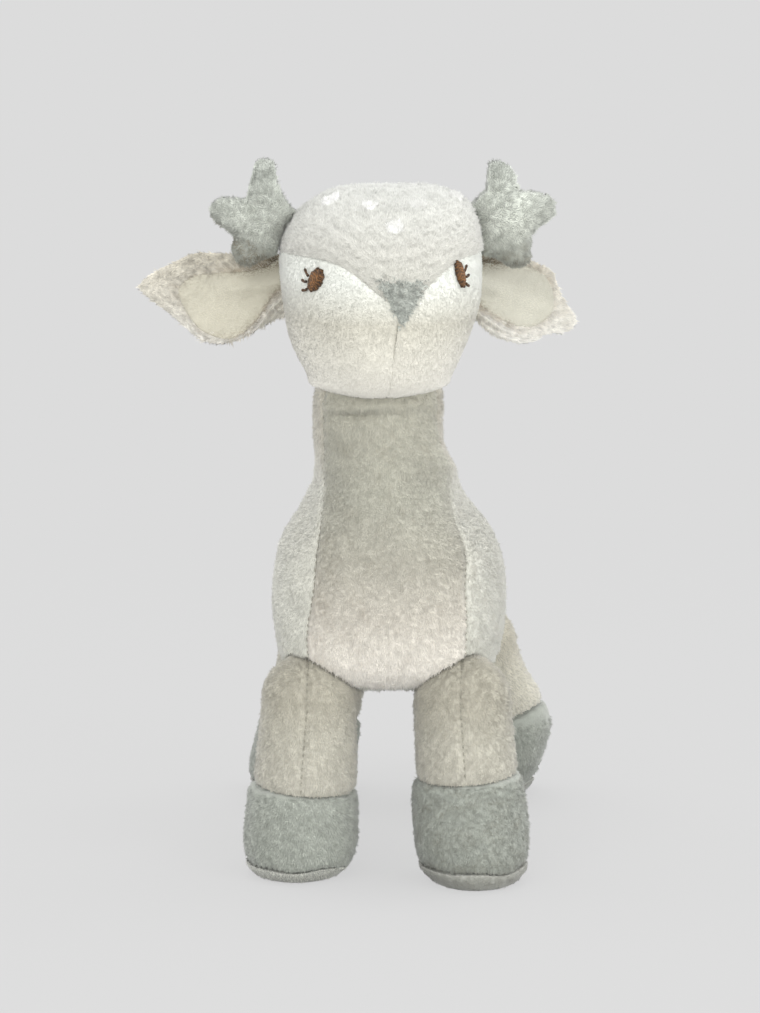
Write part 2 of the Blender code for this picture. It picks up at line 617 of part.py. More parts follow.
def add_head(joint):
    """The crown, the two cheeks and the head's filling, in the head's frame on the neck's axis."""
    table = head_table()
    top = len(table) - 1.0
    around = full_turn(AROUND)[None, :]
    rise = np.linspace(1.0, 0.0, CROWN_RINGS + 1)[:, None]
    seam = crown_seam(around)
    front, back = skin(table, around, seam + (top - seam) * rise)
    pull_back(front, back, last_row=True)
    add_piece("crown_gusset", *dome(front, back), "crown", joint)
    share = np.linspace(0.0, 1.0, CHEEK_RINGS + 1)[:, None]
    for side, sign in (("left", -1.0), ("right", 1.0)):
        turn = sign * np.linspace(0.0, math.pi, AROUND // 2 + 1)[None, :]
        front, back = skin(table, turn, crown_seam(turn) * share)
        back[0] = front[0] + (0.0, 0.0, WALL)
        pull_back(front, back, last_row=True, sides=True)
        add_piece(f"cheek_{side}", *slab(front, back), "cream", joint)

    places = np.concatenate([seam * share[1:], seam + (top - seam) * rise[-2:0:-1]])
    filling = add_piece("head_filling", *loft(filling_rings(table, around, places)), "fibre", joint)
    plug_radius = NECK_RADIUS + NECK_CLEARANCE + FILL_GAP
    plug_rings = [(HEAD_BOTTOM - CUT_OVERRUN, plug_radius), (NECK_TOP_HEIGHT + FILL_GAP, plug_radius)]
    plug_grid = turned_rings(full_turn(AROUND), plug_rings, lambda height: (0.0, 0.0, 1.0))
    plug = add_piece("neck_room", *loft(plug_grid), "fibre", joint)
    plug.hide_render = True
    plug.display_type = "WIRE"
    cut(filling, [plug])
    add_face(table, joint)


def height_to_ring(table, height):
    """The place among the head's rings at a height above the floor."""
    heights = [row[3] for row in table]
    return float(np.interp(height, heights, range(len(heights))))


def pad(table, around, along, outline, thickness, ring_shares=(0.0, 0.6, 1.0)):
    """A thin pad that lies on the form: rings of an outline, drawn in steps out to its edge."""
    step = 0.01
    here = form_point(table, around, along)
    turn_size = np.linalg.norm(form_point(table, around + step, along) - here) / step
    climb_size = np.linalg.norm(form_point(table, around, along + step) - here) / step
    shares = np.array(ring_shares)[:, None]
    turns = around + shares * outline[None, :, 0] / turn_size
    climbs = along + shares * outline[None, :, 1] / climb_size
    base = form_point(table, turns, climbs)
    normal = form_normal(table, turns, climbs)
    return dome(base + (SEAM_GAP + thickness) * normal, base + SEAM_GAP * normal)


def eye_outline(sign):
    """An oval with three short lashes on its outer side, as a distance at each turn round it."""
    turn = full_turn(EYE_AROUND)
    oval = EYE_HALF_WIDTH * EYE_HALF_HEIGHT / np.hypot(EYE_HALF_HEIGHT * np.cos(turn),
                                                      EYE_HALF_WIDTH * np.sin(turn))
    lashes = np.zeros_like(turn)
    for place in LASH_TURNS:
        lashes = np.maximum(lashes, np.exp(-((turn - place) / LASH_WIDTH) ** 2))
    reach = oval + LASH_LENGTH * lashes
    return np.stack([-sign * reach * np.cos(turn), reach * np.sin(turn)], axis=-1)


def nose_outline():
    """A triangle with round corners, point down: a distance at each turn, from three straight sides."""
    turn = full_turn(NOSE_AROUND)
    corners = np.array([(NOSE_HALF_WIDTH, NOSE_TOP_REACH), (-NOSE_HALF_WIDTH, NOSE_TOP_REACH),
                        (0.0, -NOSE_POINT_REACH)])
    inverse = np.zeros_like(turn)
    for first, second in zip(corners, np.roll(corners, -1, axis=0)):
        side = second - first
        normal = np.array([side[1], -side[0]]) / np.linalg.norm(side)
        distance = abs(normal @ first)
        facing = (np.cos(turn) * normal[0] + np.sin(turn) * normal[1]) * np.sign(normal @ first)
        inverse += (np.maximum(facing, 0.0) / distance) ** NOSE_CORNER_POWER
    reach = inverse ** (-1 / NOSE_CORNER_POWER)
    return np.stack([reach * np.cos(turn), reach * np.sin(turn)], axis=-1)


def add_face(table, joint):
    """The embroidered eyes, the plush nose and the crown's small spots."""
    for side, sign, turn, rise in (("left", -1.0, LEFT_EYE_TURN, LEFT_EYE_RISE),
                                   ("right", 1.0, RIGHT_EYE_TURN, RIGHT_EYE_RISE)):
        ring = height_to_ring(table, HEAD_BOTTOM + rise)
        mesh = pad(table, sign * turn, ring, eye_outline(sign), EYE_THICKNESS)
        add_piece(f"eye_{side}", *mesh, "brown", joint)
    mesh = pad(table, 0.0, height_to_ring(table, HEAD_BOTTOM + NOSE_RISE), nose_outline(), NOSE_THICKNESS)
    add_piece("nose", *mesh, "grey", joint)
    turn = full_turn(SPOT_AROUND)
    circle = SPOT_RADIUS * np.stack([np.cos(turn), np.sin(turn)], axis=-1)
    for number, (degrees, rise) in enumerate(SPOT_PLACE_SHARES, start=1):
        around = math.radians(degrees)
        low = float(crown_seam(around))
        along = low + rise * (len(table) - 1 - low)
        mesh = pad(table, around, along, circle, SPOT_THICKNESS, (0.0, 1.0))
        add_piece(f"spot_{number}", *mesh, "white", joint)


def seat_on_head(table, around, height, span, stand_off):
    """A seam line on the head's side: its middle, its upward direction and its outward direction."""
    low = form_point(table, around, height_to_ring(table, height - span / 2))
    high = form_point(table, around, height_to_ring(table, height + span / 2))
    middle_ring = height_to_ring(table, height)
    out = form_normal(table, around, middle_ring)
    up = (high - low) / np.linalg.norm(high - low)
    out = out - up * (out @ up)
    out /= np.linalg.norm(out)
    return form_point(table, around, middle_ring) + stand_off * out, up, out


def swing(out, up, angle):
    """The outward direction swung about the seam line; positive swings the tip forward, to -Y."""
    side = np.cross(up, out)
    if side[1] > 0:
        side = -side
    return out * math.cos(angle) + side * math.sin(angle), side * math.cos(angle) - out * math.sin(angle)


def ear_grid(out, up, face, length, shares, widths, lift, raised):
    """Points of the ear's leaf: along it, across it, cupped forward at its edges, tip lifted.

    The cup follows the full leaf's width, so that a narrower grid lies in the same bowl.
    """
    across = np.linspace(-1.0, 1.0, EAR_STRIPS + 1)[None, :]
    full = ear_width(shares)[:, None]
    spread = across * widths[:, None] / np.maximum(full, 1e-6)
    opening = np.sin(np.clip(shares, 0.0, 1.0) * math.pi * 0.55)[:, None]
    cup = EAR_CUP * spread ** 2 * opening * full + raised
    rise = across * widths[:, None] * EAR_HALF_HEIGHT + lift * np.maximum(shares, 0.0)[:, None] ** 1.3
    reach = (shares * length)[:, None, None]
    return reach * out + rise[..., None] * up + cup[..., None] * face


def ear_width(shares):
    """The leaf's half height along the ear: a gathered root, full part of the way out, a rounded tip."""
    root = between(EAR_ROOT_SHARE, 1.0, ease(shares / EAR_FULL_SHARE))
    beyond = np.clip((shares - EAR_FULL_SHARE) / (1.02 - EAR_FULL_SHARE), 0.0, 1.0)
    return root * (1.0 - beyond ** EAR_TIP_POWER) ** EAR_TIP_ROUNDNESS


def add_ear(side, sign, angle, length, lift, head_joint, table):
    """One ear on its own joint: the plush back with a bead along its root, and the inset lining."""
    bead = EAR_THICKNESS / 2
    seat, up, out = seat_on_head(table, sign * EAR_TURN, HEAD_BOTTOM + EAR_BASE_RISE, EAR_BASE_SPAN,
                                 bead + SEAM_GAP)
    joint = add_empty(f"ear_{side}_joint", head_joint, seat)
    way, face = swing(out, up, angle)
    end = bead / length
    shares = np.array([end * share for share in EAR_BEAD_SHARES] + list(EAR_RING_SHARES))
    plump = np.sqrt(np.where(shares < 0, 1.06 - (shares / end) ** 2, 1.06 - shares))
    raised = bead * plump[:, None]
    widths = ear_width(shares)
    front = ear_grid(way, up, face, length, shares, widths, lift, raised)
    back = ear_grid(way, up, face, length, shares, widths, lift, -raised)
    add_piece(f"ear_{side}_outer", *slab(front, back), "rim", joint)
    inner, inset = np.array(LINING_RING_SHARES).T
    rest = np.full((len(inner), 1), bead + SEAM_GAP)
    inner_widths = ear_width(inner) * inset
    low = ear_grid(way, up, face, length, inner, inner_widths, lift, rest)
    high = ear_grid(way, up, face, length, inner, inner_widths, lift, rest + LINING_THICKNESS)
    add_piece(f"ear_{side}_lining", *slab(high, low), "cream", joint)


def antler_outline(corners, lean, stem):
    """The star's outline: its corners cut off twice, then the reach at each turn, up to the head's side.

    The corners are level and the antler's plane leans up from the head, so they are turned back by it.
    """
    points = np.array(corners) / 1000
    for _ in range(2):
        following = np.roll(points, -1, axis=0)
        points = np.stack([0.75 * points + 0.25 * following, 0.25 * points + 0.75 * following], axis=1)
        points = points.reshape(-1, 2)
    turns = np.arctan2(points[:, 1], points[:, 0]) - lean
    order = np.argsort(turns)
    turn = full_turn(ANTLER_AROUND)
    reach = np.interp(turn, turns[order], np.hypot(*points[order].T), period=2 * math.pi) - ANTLER_MARGIN
    outline = np.stack([reach * np.cos(turn), reach * np.sin(turn)], axis=-1)
    outline[:, 0] = np.maximum(outline[:, 0], -stem - outline[:, 1] ** 2 / (2 * HEAD_SIDE_BEND))
    return outline


def shrink(outline, distance):
    """The outline drawn in towards its middle by a distance."""
    return outline * (1 - distance / np.linalg.norm(outline, axis=1, keepdims=True))


def add_antler(side, sign, corners, rise, stem, head_joint, table):
    """One antler on its own joint: front and back plush faces over the filling."""
    seat, up, out = seat_on_head(table, sign * ANTLER_TURN, HEAD_BOTTOM + rise, ANTLER_BASE_SPAN,
                                 2 * SEAM_GAP)
    joint = add_empty(f"antler_{side}_joint", head_joint, seat)
    out, face = swing(out, up, 0.0)
    lean = math.atan2(out[2], math.hypot(out[0], out[1]))
    outline = antler_outline(corners, lean, stem)
    shares = np.array(ANTLER_RING_SHARES)
    swell = np.sqrt(1.0 - shares ** 2.6)

    def layer(outline_points, puff, sense):
        height = sense * (ANTLER_EDGE / 2 + puff * swell)
        flat = shares[:, None, None] * outline_points[None, :, :]
        place = (flat[..., :1] + stem) * out + flat[..., 1:] * up
        return place + height[:, None, None] * face

    puff = ANTLER_HALF_THICKNESS - ANTLER_EDGE / 2
    inner_outline = shrink(outline, WALL + FILL_GAP)
    for half, sense in (("front", 1.0), ("back", -1.0)):
        shift = sense * SEAM_GAP * face
        outer = layer(outline, puff, sense) + shift
        inner = layer(inner_outline, puff - WALL, sense) + shift
        add_piece(f"antler_{side}_{half}", *dome(outer, inner), "grey", joint)
    core = shrink(inner_outline, 2 * FILL_GAP)
    front = layer(core, puff - WALL - FILL_GAP, 1.0)
    back = layer(core, puff - WALL - FILL_GAP, -1.0)
    add_piece(f"antler_{side}_filling", *dome(front, back), "fibre", joint)


def add_tail(root):
    """A short flat tail, with a ball at its root on the tail's joint, hanging off the rump."""
    table = body_table()
    heights = [row[4] for row in table]
    ring = float(np.interp(BACK_HEIGHT - TAIL_DROP, heights, range(len(table))))
    normal = form_normal(table, math.pi, ring)
    seat = form_point(table, math.pi, ring) + (TAIL_ROOT_RADIUS + SEAM_GAP) * normal
    joint = add_empty("tail_joint", root, seat)
    down = np.array([0.0, normal[2], -normal[1]])
    way = math.cos(TAIL_LIFT) * down + math.sin(TAIL_LIFT) * normal
    flat = math.cos(TAIL_LIFT) * normal - math.sin(TAIL_LIFT) * down
    across = np.array([1.0, 0.0, 0.0])
    around = full_turn(TAIL_AROUND)[:, None]
    sections = []
    for share in TAIL_ROOT_SHARES:
        radius = TAIL_ROOT_RADIUS * math.sqrt(1 - share ** 2)
        sections.append((share * TAIL_ROOT_RADIUS, radius, radius))
    for share in TAIL_RING_SHARES:
        root_left = TAIL_ROOT_RADIUS * (1 - share)
        swell = math.sin(math.pi * share ** 0.8) ** 0.6
        sections.append((share * TAIL_LENGTH, between(root_left, TAIL_HALF_WIDTH, swell),
                         between(root_left, TAIL_HALF_THICKNESS, swell)))
    grid = [along * way + width * np.cos(around) * across + depth * np.sin(around) * flat
            for along, width, depth in sections]
    add_piece("tail", *loft(np.array(grid)), "side", joint)


def centre_over_origin(root):
    """Move the toy so that the box round all its pieces is centred over the origin and stands on it."""
    bpy.context.view_layer.update()
    graph = bpy.context.evaluated_depsgraph_get()
    corners = []
    for piece in bpy.context.scene.objects:
        if piece.type == "MESH" and not piece.hide_render:
            evaluated = piece.evaluated_get(graph)
            mesh = evaluated.to_mesh()
            points = np.empty(len(mesh.vertices) * 3)
            mesh.vertices.foreach_get("co", points)
            world = np.array(evaluated.matrix_world)
            corners.append(points.reshape(-1, 3) @ world[:3, :3].T + world[:3, 3])
            evaluated.to_mesh_clear()
    corners = np.concatenate(corners)
    low, high = corners.min(axis=0), corners.max(axis=0)
    root.location = (-(low[0] + high[0]) / 2, -(low[1] + high[1]) / 2, -low[2])
    bpy.context.view_layer.update()


def main():
    for old in list(bpy.data.objects):
        bpy.data.objects.remove(old)
    root = add_empty("deer", None, (0.0, 0.0, 0.0))
    legs = leg_specs()
    pockets = [add_pocket(f"pocket_{name}", hip, root) for name, hip, *_ in legs]
    add_body(root, pockets)
    for name, hip, foot, hoof, sole in legs:
        add_leg(name, hip, foot, hoof, sole, add_empty(f"hip_{name}_joint", root, hip))
    head_joint = add_empty("head_joint", root, (NECK_LEAN, 0.0, 0.0), HEAD_YAW)
    add_head(head_joint)
    table = head_table()
    add_ear("left", -1.0, LEFT_EAR_SWING, LEFT_EAR_LENGTH, LEFT_EAR_LIFT, head_joint, table)
    add_ear("right", 1.0, RIGHT_EAR_SWING, RIGHT_EAR_LENGTH, RIGHT_EAR_LIFT, head_joint, table)
    add_antler("left", -1.0, LEFT_ANTLER_CORNERS, LEFT_ANTLER_RISE, LEFT_ANTLER_STEM, head_joint, table)
    add_antler("right", 1.0, RIGHT_ANTLER_CORNERS, RIGHT_ANTLER_RISE, RIGHT_ANTLER_STEM, head_joint, table)
    add_tail(root)
    centre_over_origin(root)


main()
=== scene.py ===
"""The plush deer's looks: cloth panels with their pile, seams and embroidery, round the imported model.

Metres, +Z up, the deer looks along -Y. The forms are worked out about the neck's axis, as the model's
are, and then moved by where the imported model's neck joint says that this axis stands.

A panel is a grid of points: rows along it and columns across it. Its cloth is a closed wall, and its
pile is a crowd of small closed spikes that stand on the cloth and lean with the nap.
"""
import json
import math

import bpy
import numpy as np
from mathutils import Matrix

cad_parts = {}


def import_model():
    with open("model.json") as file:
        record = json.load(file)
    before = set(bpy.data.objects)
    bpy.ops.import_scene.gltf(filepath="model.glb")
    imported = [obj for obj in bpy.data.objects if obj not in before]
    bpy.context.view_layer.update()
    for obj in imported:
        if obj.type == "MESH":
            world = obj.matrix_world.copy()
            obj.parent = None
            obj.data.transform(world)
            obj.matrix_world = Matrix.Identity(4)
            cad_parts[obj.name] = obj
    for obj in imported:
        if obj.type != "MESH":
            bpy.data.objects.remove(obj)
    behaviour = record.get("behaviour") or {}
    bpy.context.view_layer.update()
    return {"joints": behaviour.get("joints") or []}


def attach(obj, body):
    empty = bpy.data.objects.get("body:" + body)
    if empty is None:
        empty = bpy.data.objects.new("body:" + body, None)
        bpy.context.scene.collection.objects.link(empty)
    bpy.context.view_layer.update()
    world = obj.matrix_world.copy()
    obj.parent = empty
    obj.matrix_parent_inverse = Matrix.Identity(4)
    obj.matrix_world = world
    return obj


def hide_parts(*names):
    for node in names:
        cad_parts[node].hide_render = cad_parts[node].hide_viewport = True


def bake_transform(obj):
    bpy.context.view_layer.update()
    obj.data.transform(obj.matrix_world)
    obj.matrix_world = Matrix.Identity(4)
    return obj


# Body and neck, as in the model
BELLY_HEIGHT = 0.0757
BACK_HEIGHT = 0.160
BODY_HALF_WIDTH = 0.0490
CHEST_REACH = 0.022
RUMP_REACH = 0.143
BELLY_MIDDLE = 0.058
NECK_RADIUS = 0.0264
NECK_LENGTH = 0.0475
NECK_LEAN = -0.0022
NECK_TOP_HEIGHT = BACK_HEIGHT + NECK_LENGTH

# Head, as in the model
HEAD_HALF_WIDTH = 0.0412
HEAD_HEIGHT = 0.0855
NOSE_REACH = 0.0555
HEAD_BACK_REACH = 0.045
HEAD_TOP_PLACE = 0.003
CROWN_LEAN = 0.0046
CHIN_RISE = 0.0022            # how far the chin's edge curves up at its sides, and over what height
CHIN_REACH = 0.012
HEAD_YAW = math.radians(10.5)
NECK_IN_HEAD = 0.003
NECK_CLEARANCE = 0.0004
HEAD_BOTTOM = NECK_TOP_HEIGHT - NECK_IN_HEAD
HEAD_TOP = HEAD_BOTTOM + HEAD_HEIGHT

# Legs: hips and feet as in the model, the cloth's radii a little slimmer
HIP_DROP = 0.0017
LEG_TOP_RADIUS = 0.0205
LEG_WAIST_RADIUS = 0.0206
LEG_HEM_RADIUS = 0.0216
HOOF_RADIUS = 0.0242
HOOF_BOTTOM_RADIUS = 0.0230
SOLE_RADIUS = 0.0221
SOLE_FLAT_RADIUS = 0.0152
FOOT_LENGTH_SHARE = 1.05
SHORT_HOOF_HEIGHT = 0.0375
TALL_HOOF_HEIGHT = 0.0440
SLANT_REACH = 0.011          # the height over which the hoof's seam slants, longer on a steep slant
SOLE_WAVE = 0.0007           # how far the sole's seam waves, and over what height
WAVE_REACH = 0.0035
THIN_SOLE_HEIGHT = 0.0065
THICK_SOLE_HEIGHT = 0.0085
LEFT_HIP_INSET = 0.0180
RIGHT_HIP_INSET = 0.0160
FRONT_HIP_INSET = 0.0190
REAR_HIP_INSET = 0.0250
LEFT_FOOT_SPLAY = 0.0052
RIGHT_FOOT_SPLAY = 0.0060
REAR_FOOT_SPLAY = 0.0155
LEFT_FOOT_STEP = 0.0040
RIGHT_FOOT_STEP = 0.0130
REAR_FOOT_STEP = -0.0260
POCKET_CLEARANCE = 0.0009
HIP_HEIGHT = BELLY_HEIGHT - HIP_DROP
LEFT_HIP_PLACE = BODY_HALF_WIDTH - LEFT_HIP_INSET
RIGHT_HIP_PLACE = BODY_HALF_WIDTH - RIGHT_HIP_INSET
FRONT_HIP_PLACE = FRONT_HIP_INSET - CHEST_REACH
REAR_HIP_PLACE = RUMP_REACH - REAR_HIP_INSET

# Ears, antlers and tail, as in the model
LEFT_EAR_LENGTH = 0.0632
RIGHT_EAR_LENGTH = 0.0605
EAR_HALF_HEIGHT = 0.0180
EAR_CUP = 0.0085
LEFT_EAR_LIFT = 0.0108
RIGHT_EAR_LIFT = 0.0052
EAR_BASE_RISE = 0.0375
EAR_BASE_SPAN = 0.022
EAR_TURN = math.radians(114.0)
LEFT_EAR_SWING = math.radians(5.0)
RIGHT_EAR_SWING = math.radians(-4.0)
ANTLER_LOW = 0.248
ANTLER_HIGH = 0.297
EAR_LOW = 0.220              # the heights between which the ears' pile goes from pale to taupe
EAR_HIGH = 0.262
LEFT_ANTLER_STEM = 0.0127
RIGHT_ANTLER_STEM = 0.0146
ANTLER_HALF_THICKNESS = 0.0062
ANTLER_SWELL_REACH = 0.0056
LEFT_ANTLER_RISE = 0.0677
RIGHT_ANTLER_RISE = 0.0684
ANTLER_BASE_SPAN = 0.013
ANTLER_TURN = math.radians(96.0)
ANTLER_MARGIN = 0.0006
HEAD_SIDE_BEND = 0.038
TAIL_LENGTH = 0.034
TAIL_HALF_WIDTH = 0.0095
TAIL_HALF_THICKNESS = 0.0050
TAIL_ROOT_RADIUS = 0.0035
TAIL_DROP = 0.028
TAIL_LIFT = math.radians(33.0)

# Face. Each eye: half width, half height and lean, then its lashes from start to finish, outwards and
# up from the eye's middle, in millimetres
LEFT_EYE = (0.0038, 0.0059, math.radians(46.0))
LEFT_LASHES = (((3.9, 1.2), (7.0, 4.4)), ((5.0, -0.9), (9.0, -0.4)), ((4.4, -3.7), (8.6, -4.6)))
RIGHT_EYE = (0.0027, 0.0057, math.radians(15.0))
RIGHT_LASHES = (((1.9, 1.0), (4.5, 3.6)), ((2.6, -1.2), (5.8, -0.4)), ((2.4, -3.6), (5.2, -5.0)))
LEFT_EYE_RISE = 0.0498
RIGHT_EYE_RISE = 0.0522
LEFT_EYE_TURN = math.radians(49.0)
RIGHT_EYE_TURN = math.radians(38.8)
EYE_SWELL = 0.0011
EYE_STITCH = 0.00062
NOSE_HALF_WIDTH = 0.0100
NOSE_RISE = 0.0427
NOSE_TURN = math.radians(1.6)
NOSE_POINT_REACH = 0.0105
NOSE_TOP_REACH = 0.0080
NOSE_CORNER_POWER = 8
SPOT_RADIUS = 0.0036

# Rings of the body, belly to neck, as shares of the sizes above:
# front and rear of the belly's middle, half width, height in front and behind (0 belly, 1 back),
# where along the ring it is widest, how square its front and rear are (2 is an ellipse), and its
# share of the neck's lean
BODY_RING_SHARES = (
    (0.000, 0.000, 0.000, 0.000, 0.000, 0.50, 2.0, 2.0, 0.0),
    (0.610, 0.653, 0.515, 0.006, 0.006, 0.46, 2.2, 2.1, 0.0),
    (0.818, 0.867, 0.805, 0.043, 0.049, 0.43, 2.6, 2.2, 0.0),
    (0.935, 0.960, 0.950, 0.130, 0.136, 0.42, 3.0, 2.3, 0.0),
    (0.987, 1.000, 1.000, 0.272, 0.296, 0.42, 3.0, 2.3, 0.0),
    (1.000, 1.000, 1.012, 0.457, 0.481, 0.42, 2.8, 2.3, 0.1),
    (0.994, 0.950, 0.941, 0.679, 0.691, 0.42, 2.5, 2.2, 0.6),
    (0.994, 0.813, 0.728, 0.877, 0.864, 0.43, 2.3, 2.1, 1.05),
    (1.006, 0.550, 0.632, 1.062, 0.957, 0.44, 2.15, 2.05, 0.55),
)
# Rings of the neck: front, rear and half width in neck radii, heights (0 back, 1 neck top), widest
# place, squareness, and the share of the neck's lean
NECK_RING_SHARES = (
    (0.889, 2.520, 1.135, 0.390, 0.020, 0.46, 2.05, 2.0, 0.3),
    (0.944, 1.556, 1.055, 0.610, 0.170, 0.48, 2.0, 2.0, 0.95),
    (0.980, 1.110, 1.025, 0.770, 0.435, 0.50, 2.0, 2.0, 1.3),
    (1.000, 1.000, 1.020, 0.890, 0.717, 0.50, 2.0, 2.0, 1.3),
    (1.000, 1.000, 1.000, 1.000, 1.000, 0.50, 2.0, 2.0, 1.0),
)
# Rings of the head above the neck's circle: front, rear, half width, height, widest place, squareness
# in front and behind, and how far the ring leans to the right in the crown's lean
HEAD_RING_SHARES = (
    (0.559, 0.667, 0.717, 0.018, 0.50, 2.05, 2.0, 0.05),
    (0.685, 0.778, 0.745, 0.070, 0.53, 2.1, 2.0, 0.03),
    (0.829, 0.878, 0.823, 0.170, 0.57, 2.15, 2.0, 0.00),
    (0.946, 0.956, 0.930, 0.304, 0.60, 2.1, 2.0, 0.12),
    (1.000, 1.000, 1.008, 0.456, 0.62, 2.0, 2.0, 0.33),
    (0.964, 1.000, 1.024, 0.608, 0.62, 2.05, 2.0, 0.38),
    (0.838, 0.944, 0.998, 0.749, 0.60, 2.2, 2.1, 0.42),
    (0.649, 0.822, 0.910, 0.860, 0.56, 2.35, 2.2, 0.70),
    (0.432, 0.622, 0.752, 0.942, 0.52, 2.4, 2.2, 1.12),
    (0.198, 0.356, 0.500, 0.991, 0.50, 2.3, 2.2, 0.98),
)
# Each antler's corners round the middle of its star, level with the floor and up, in millimetres
LEFT_ANTLER_CORNERS = (
    (0.3, 23.3), (-6.7, 23.3), (-7.5, 19.9), (-8.6, 13.1), (-9.9, 9.7), (-13.6, 2.8), (-17.3, 0.2),
    (-12.6, -11.7), (-10.6, -16.5), (-8.3, -17.8), (-1.9, -19.7), (0.3, -22.1), (5.0, -23.1),
    (9.5, -21.2), (11.6, -16.0), (10.1, -11.8), (10.8, -8.8), (14.4, -6.7), (18.9, -3.3), (20.8, -0.4),
    (20.1, 3.5), (16.9, 6.3), (8.6, 6.6), (5.3, 6.1), (4.0, 9.6), (1.3, 19.4))
RIGHT_ANTLER_CORNERS = (
    (19.5, 6.7), (15.1, 8.1), (9.7, 9.5), (2.7, 9.8), (2.4, 12.3), (0.9, 17.5), (-1.9, 21.5),
    (-6.4, 23.4), (-10.3, 22.6), (-10.5, 18.8), (-10.7, 14.4), (-10.5, 10.1), (-13.0, 8.5),
    (-16.2, 4.3),
    (-21.8, -0.4), (-19.1, -9.6), (-17.0, -17.3), (-9.7, -18.3), (-4.4, -19.8), (-0.4, -23.2),
    (2.7, -24.4), (10.2, -23.1), (9.8, -16.3), (9.9, -9.3), (12.8, -6.9), (15.7, -4.3), (20.4, -1.0))
# An ear's leaf and its lining: share along the ear, upper edge and lower edge in half heights
LEFT_EAR_EDGES = (
    (-0.02, 0.98, -0.45), (0.06, 0.98, -0.48), (0.14, 0.98, -0.62), (0.21, 0.97, -0.78),
    (0.33, 0.98, -1.01), (0.46, 0.98, -1.13), (0.58, 0.92, -1.06), (0.71, 0.70, -0.78),
    (0.85, 0.44, -0.43), (0.94, 0.23, -0.22), (1.0, 0.03, -0.03))
RIGHT_EAR_EDGES = (
    (-0.02, 0.98, -0.22), (0.06, 0.98, -0.30), (0.125, 0.98, -0.58), (0.25, 0.98, -0.84),
    (0.42, 0.98, -0.97), (0.58, 0.86, -0.93), (0.69, 0.72, -0.77), (0.77, 0.47, -0.70),
    (0.86, 0.18, -0.68), (0.94, -0.08, -0.60), (1.0, -0.30, -0.46))
LEFT_LINING_EDGES = (
    (0.0, 0.92, 0.22), (0.08, 0.76, 0.04), (0.20, 0.62, -0.54), (0.29, 0.57, -0.84),
    (0.38, 0.54, -1.00), (0.46, 0.51, -0.99), (0.56, 0.44, -0.88), (0.64, 0.33, -0.66),
    (0.70, 0.17, -0.36), (0.725, 0.02, -0.10))
RIGHT_LINING_EDGES = (
    (0.0, 0.80, -0.10), (0.15, 0.82, -0.24), (0.25, 0.84, -0.40), (0.36, 0.85, -0.52),
    (0.48, 0.80, -0.60), (0.60, 0.68, -0.58), (0.68, 0.50, -0.48), (0.74, 0.30, -0.34),
    (0.77, 0.08, -0.20), (0.78, -0.04, -0.10))
# Each spot's turn, its share of the way from the crown's seam to its top, its size and how white it is
SPOTS = ((-57.0, 0.58, 1.10, "white"), (-21.5, 0.56, 0.85, "white"), (-2.0, 0.445, 1.0, "pale"),
         (13.5, 0.59, 0.95, "faint"), (58.0, 0.60, 0.9, "faint"))
# Rings of a leg: down the shin and from waist to hem; down the hoof and from hem to full; up the sole
# and from its flat to full
SHIN_RING_SHARES = ((0.22, 0.0), (0.60, 0.5))
HOOF_RING_SHARES = ((0.0, 0.0), (0.10, 0.67), (0.40, 1.0), (0.75, 1.0))
SOLE_RING_SHARES = ((0.62, 1.0), (0.30, 0.66), (0.10, 0.30), (0.0, 0.0))
TAIL_RING_SHARES = (0.02, 0.10, 0.25, 0.42, 0.60, 0.78, 0.92, 0.99)

# Places among the rings where the seams run
BELLY_SEAM = 2.0
CHEST_SEAM_TURN = math.radians(37.0)
NECK_SEAM_TURN = math.radians(65.0)
NECK_TWIST = math.radians(12.0)
CHEST_SEAM_RING = 5.3
RIGHT_SEAM_SPREAD = 0.10
NECK_SEAM_RINGS = 4.0
CROWN_SEAM_SIDE = 6.55
CROWN_SEAM_FRONT_DIP = 1.35
CROWN_SEAM_BACK_DIP = 3.2
FRONT_DIP_TURN = math.radians(24.0)
BACK_DIP_TURN = math.radians(49.0)

# Cloth and seams
WALL = 0.0009
CLOTH_INSET = 0.0009         # the cloth lies this far below the form, which its pile then fills
SEAM_DEPTH = 0.0012
SEAM_WIDTH = 0.0016
PUCKER_DEPTH = 0.00022
PUCKER_REACH = 0.0050
PUCKER_PITCH = 0.0062
LUMP_HEIGHT = 0.0004
LUMP_SIZE = 0.030
FRINGE_REACH = 0.0022        # round a leg's top the body's pile is this share longer, this far out
FRINGE_SHARE = 1.55
TUCK = 0.0009                # a hoof or sole reaches up inside the cloth above it in two such steps

# The fold across the neck's front
FOLD_HEIGHT = 0.1975
FOLD_WAVE = 0.0006
FOLD_DEPTH = 0.0024
FOLD_WIDTH = 0.0019
FOLD_TURN = 0.42
FOLD_PLACE = -0.28           # the valley's turn off the front; the roll above it runs further round
ROLL_HEIGHT = 0.0013
ROLL_TURN = 0.95

# Pile: a spike's length and root radius, how many stand on a square metre, how far it leans with the
# nap, and how much it gathers into clumps of the size given
PILE_LENGTH = 0.0017
SPIKE_RADIUS = 0.00027
PILE_DENSITY = 2.7e6
PILE_LEAN = 1.15
PILE_CLUMP = 0.22
PILE_CHANCE = 0.20
CLUMP_SIZE = 0.0030
SPECK_SIZE = 0.0017
ROOT_SINK = 0.00015

# Stitches that show along a seam
STITCH_PITCH = 0.0031
STITCH_SHARE = 0.66
STITCH_RADIUS = 0.00026
STITCH_BOW = 0.00035
STITCH_RISE = 0.00015

# Painted light over each antler's middle, how far above the star's middle it centres, and the painted
# shade down its lower arm
ANTLER_SHADES = {"left": (0.36, 0.0, 0.44), "right": (0.58, 0.003, 0.22)}
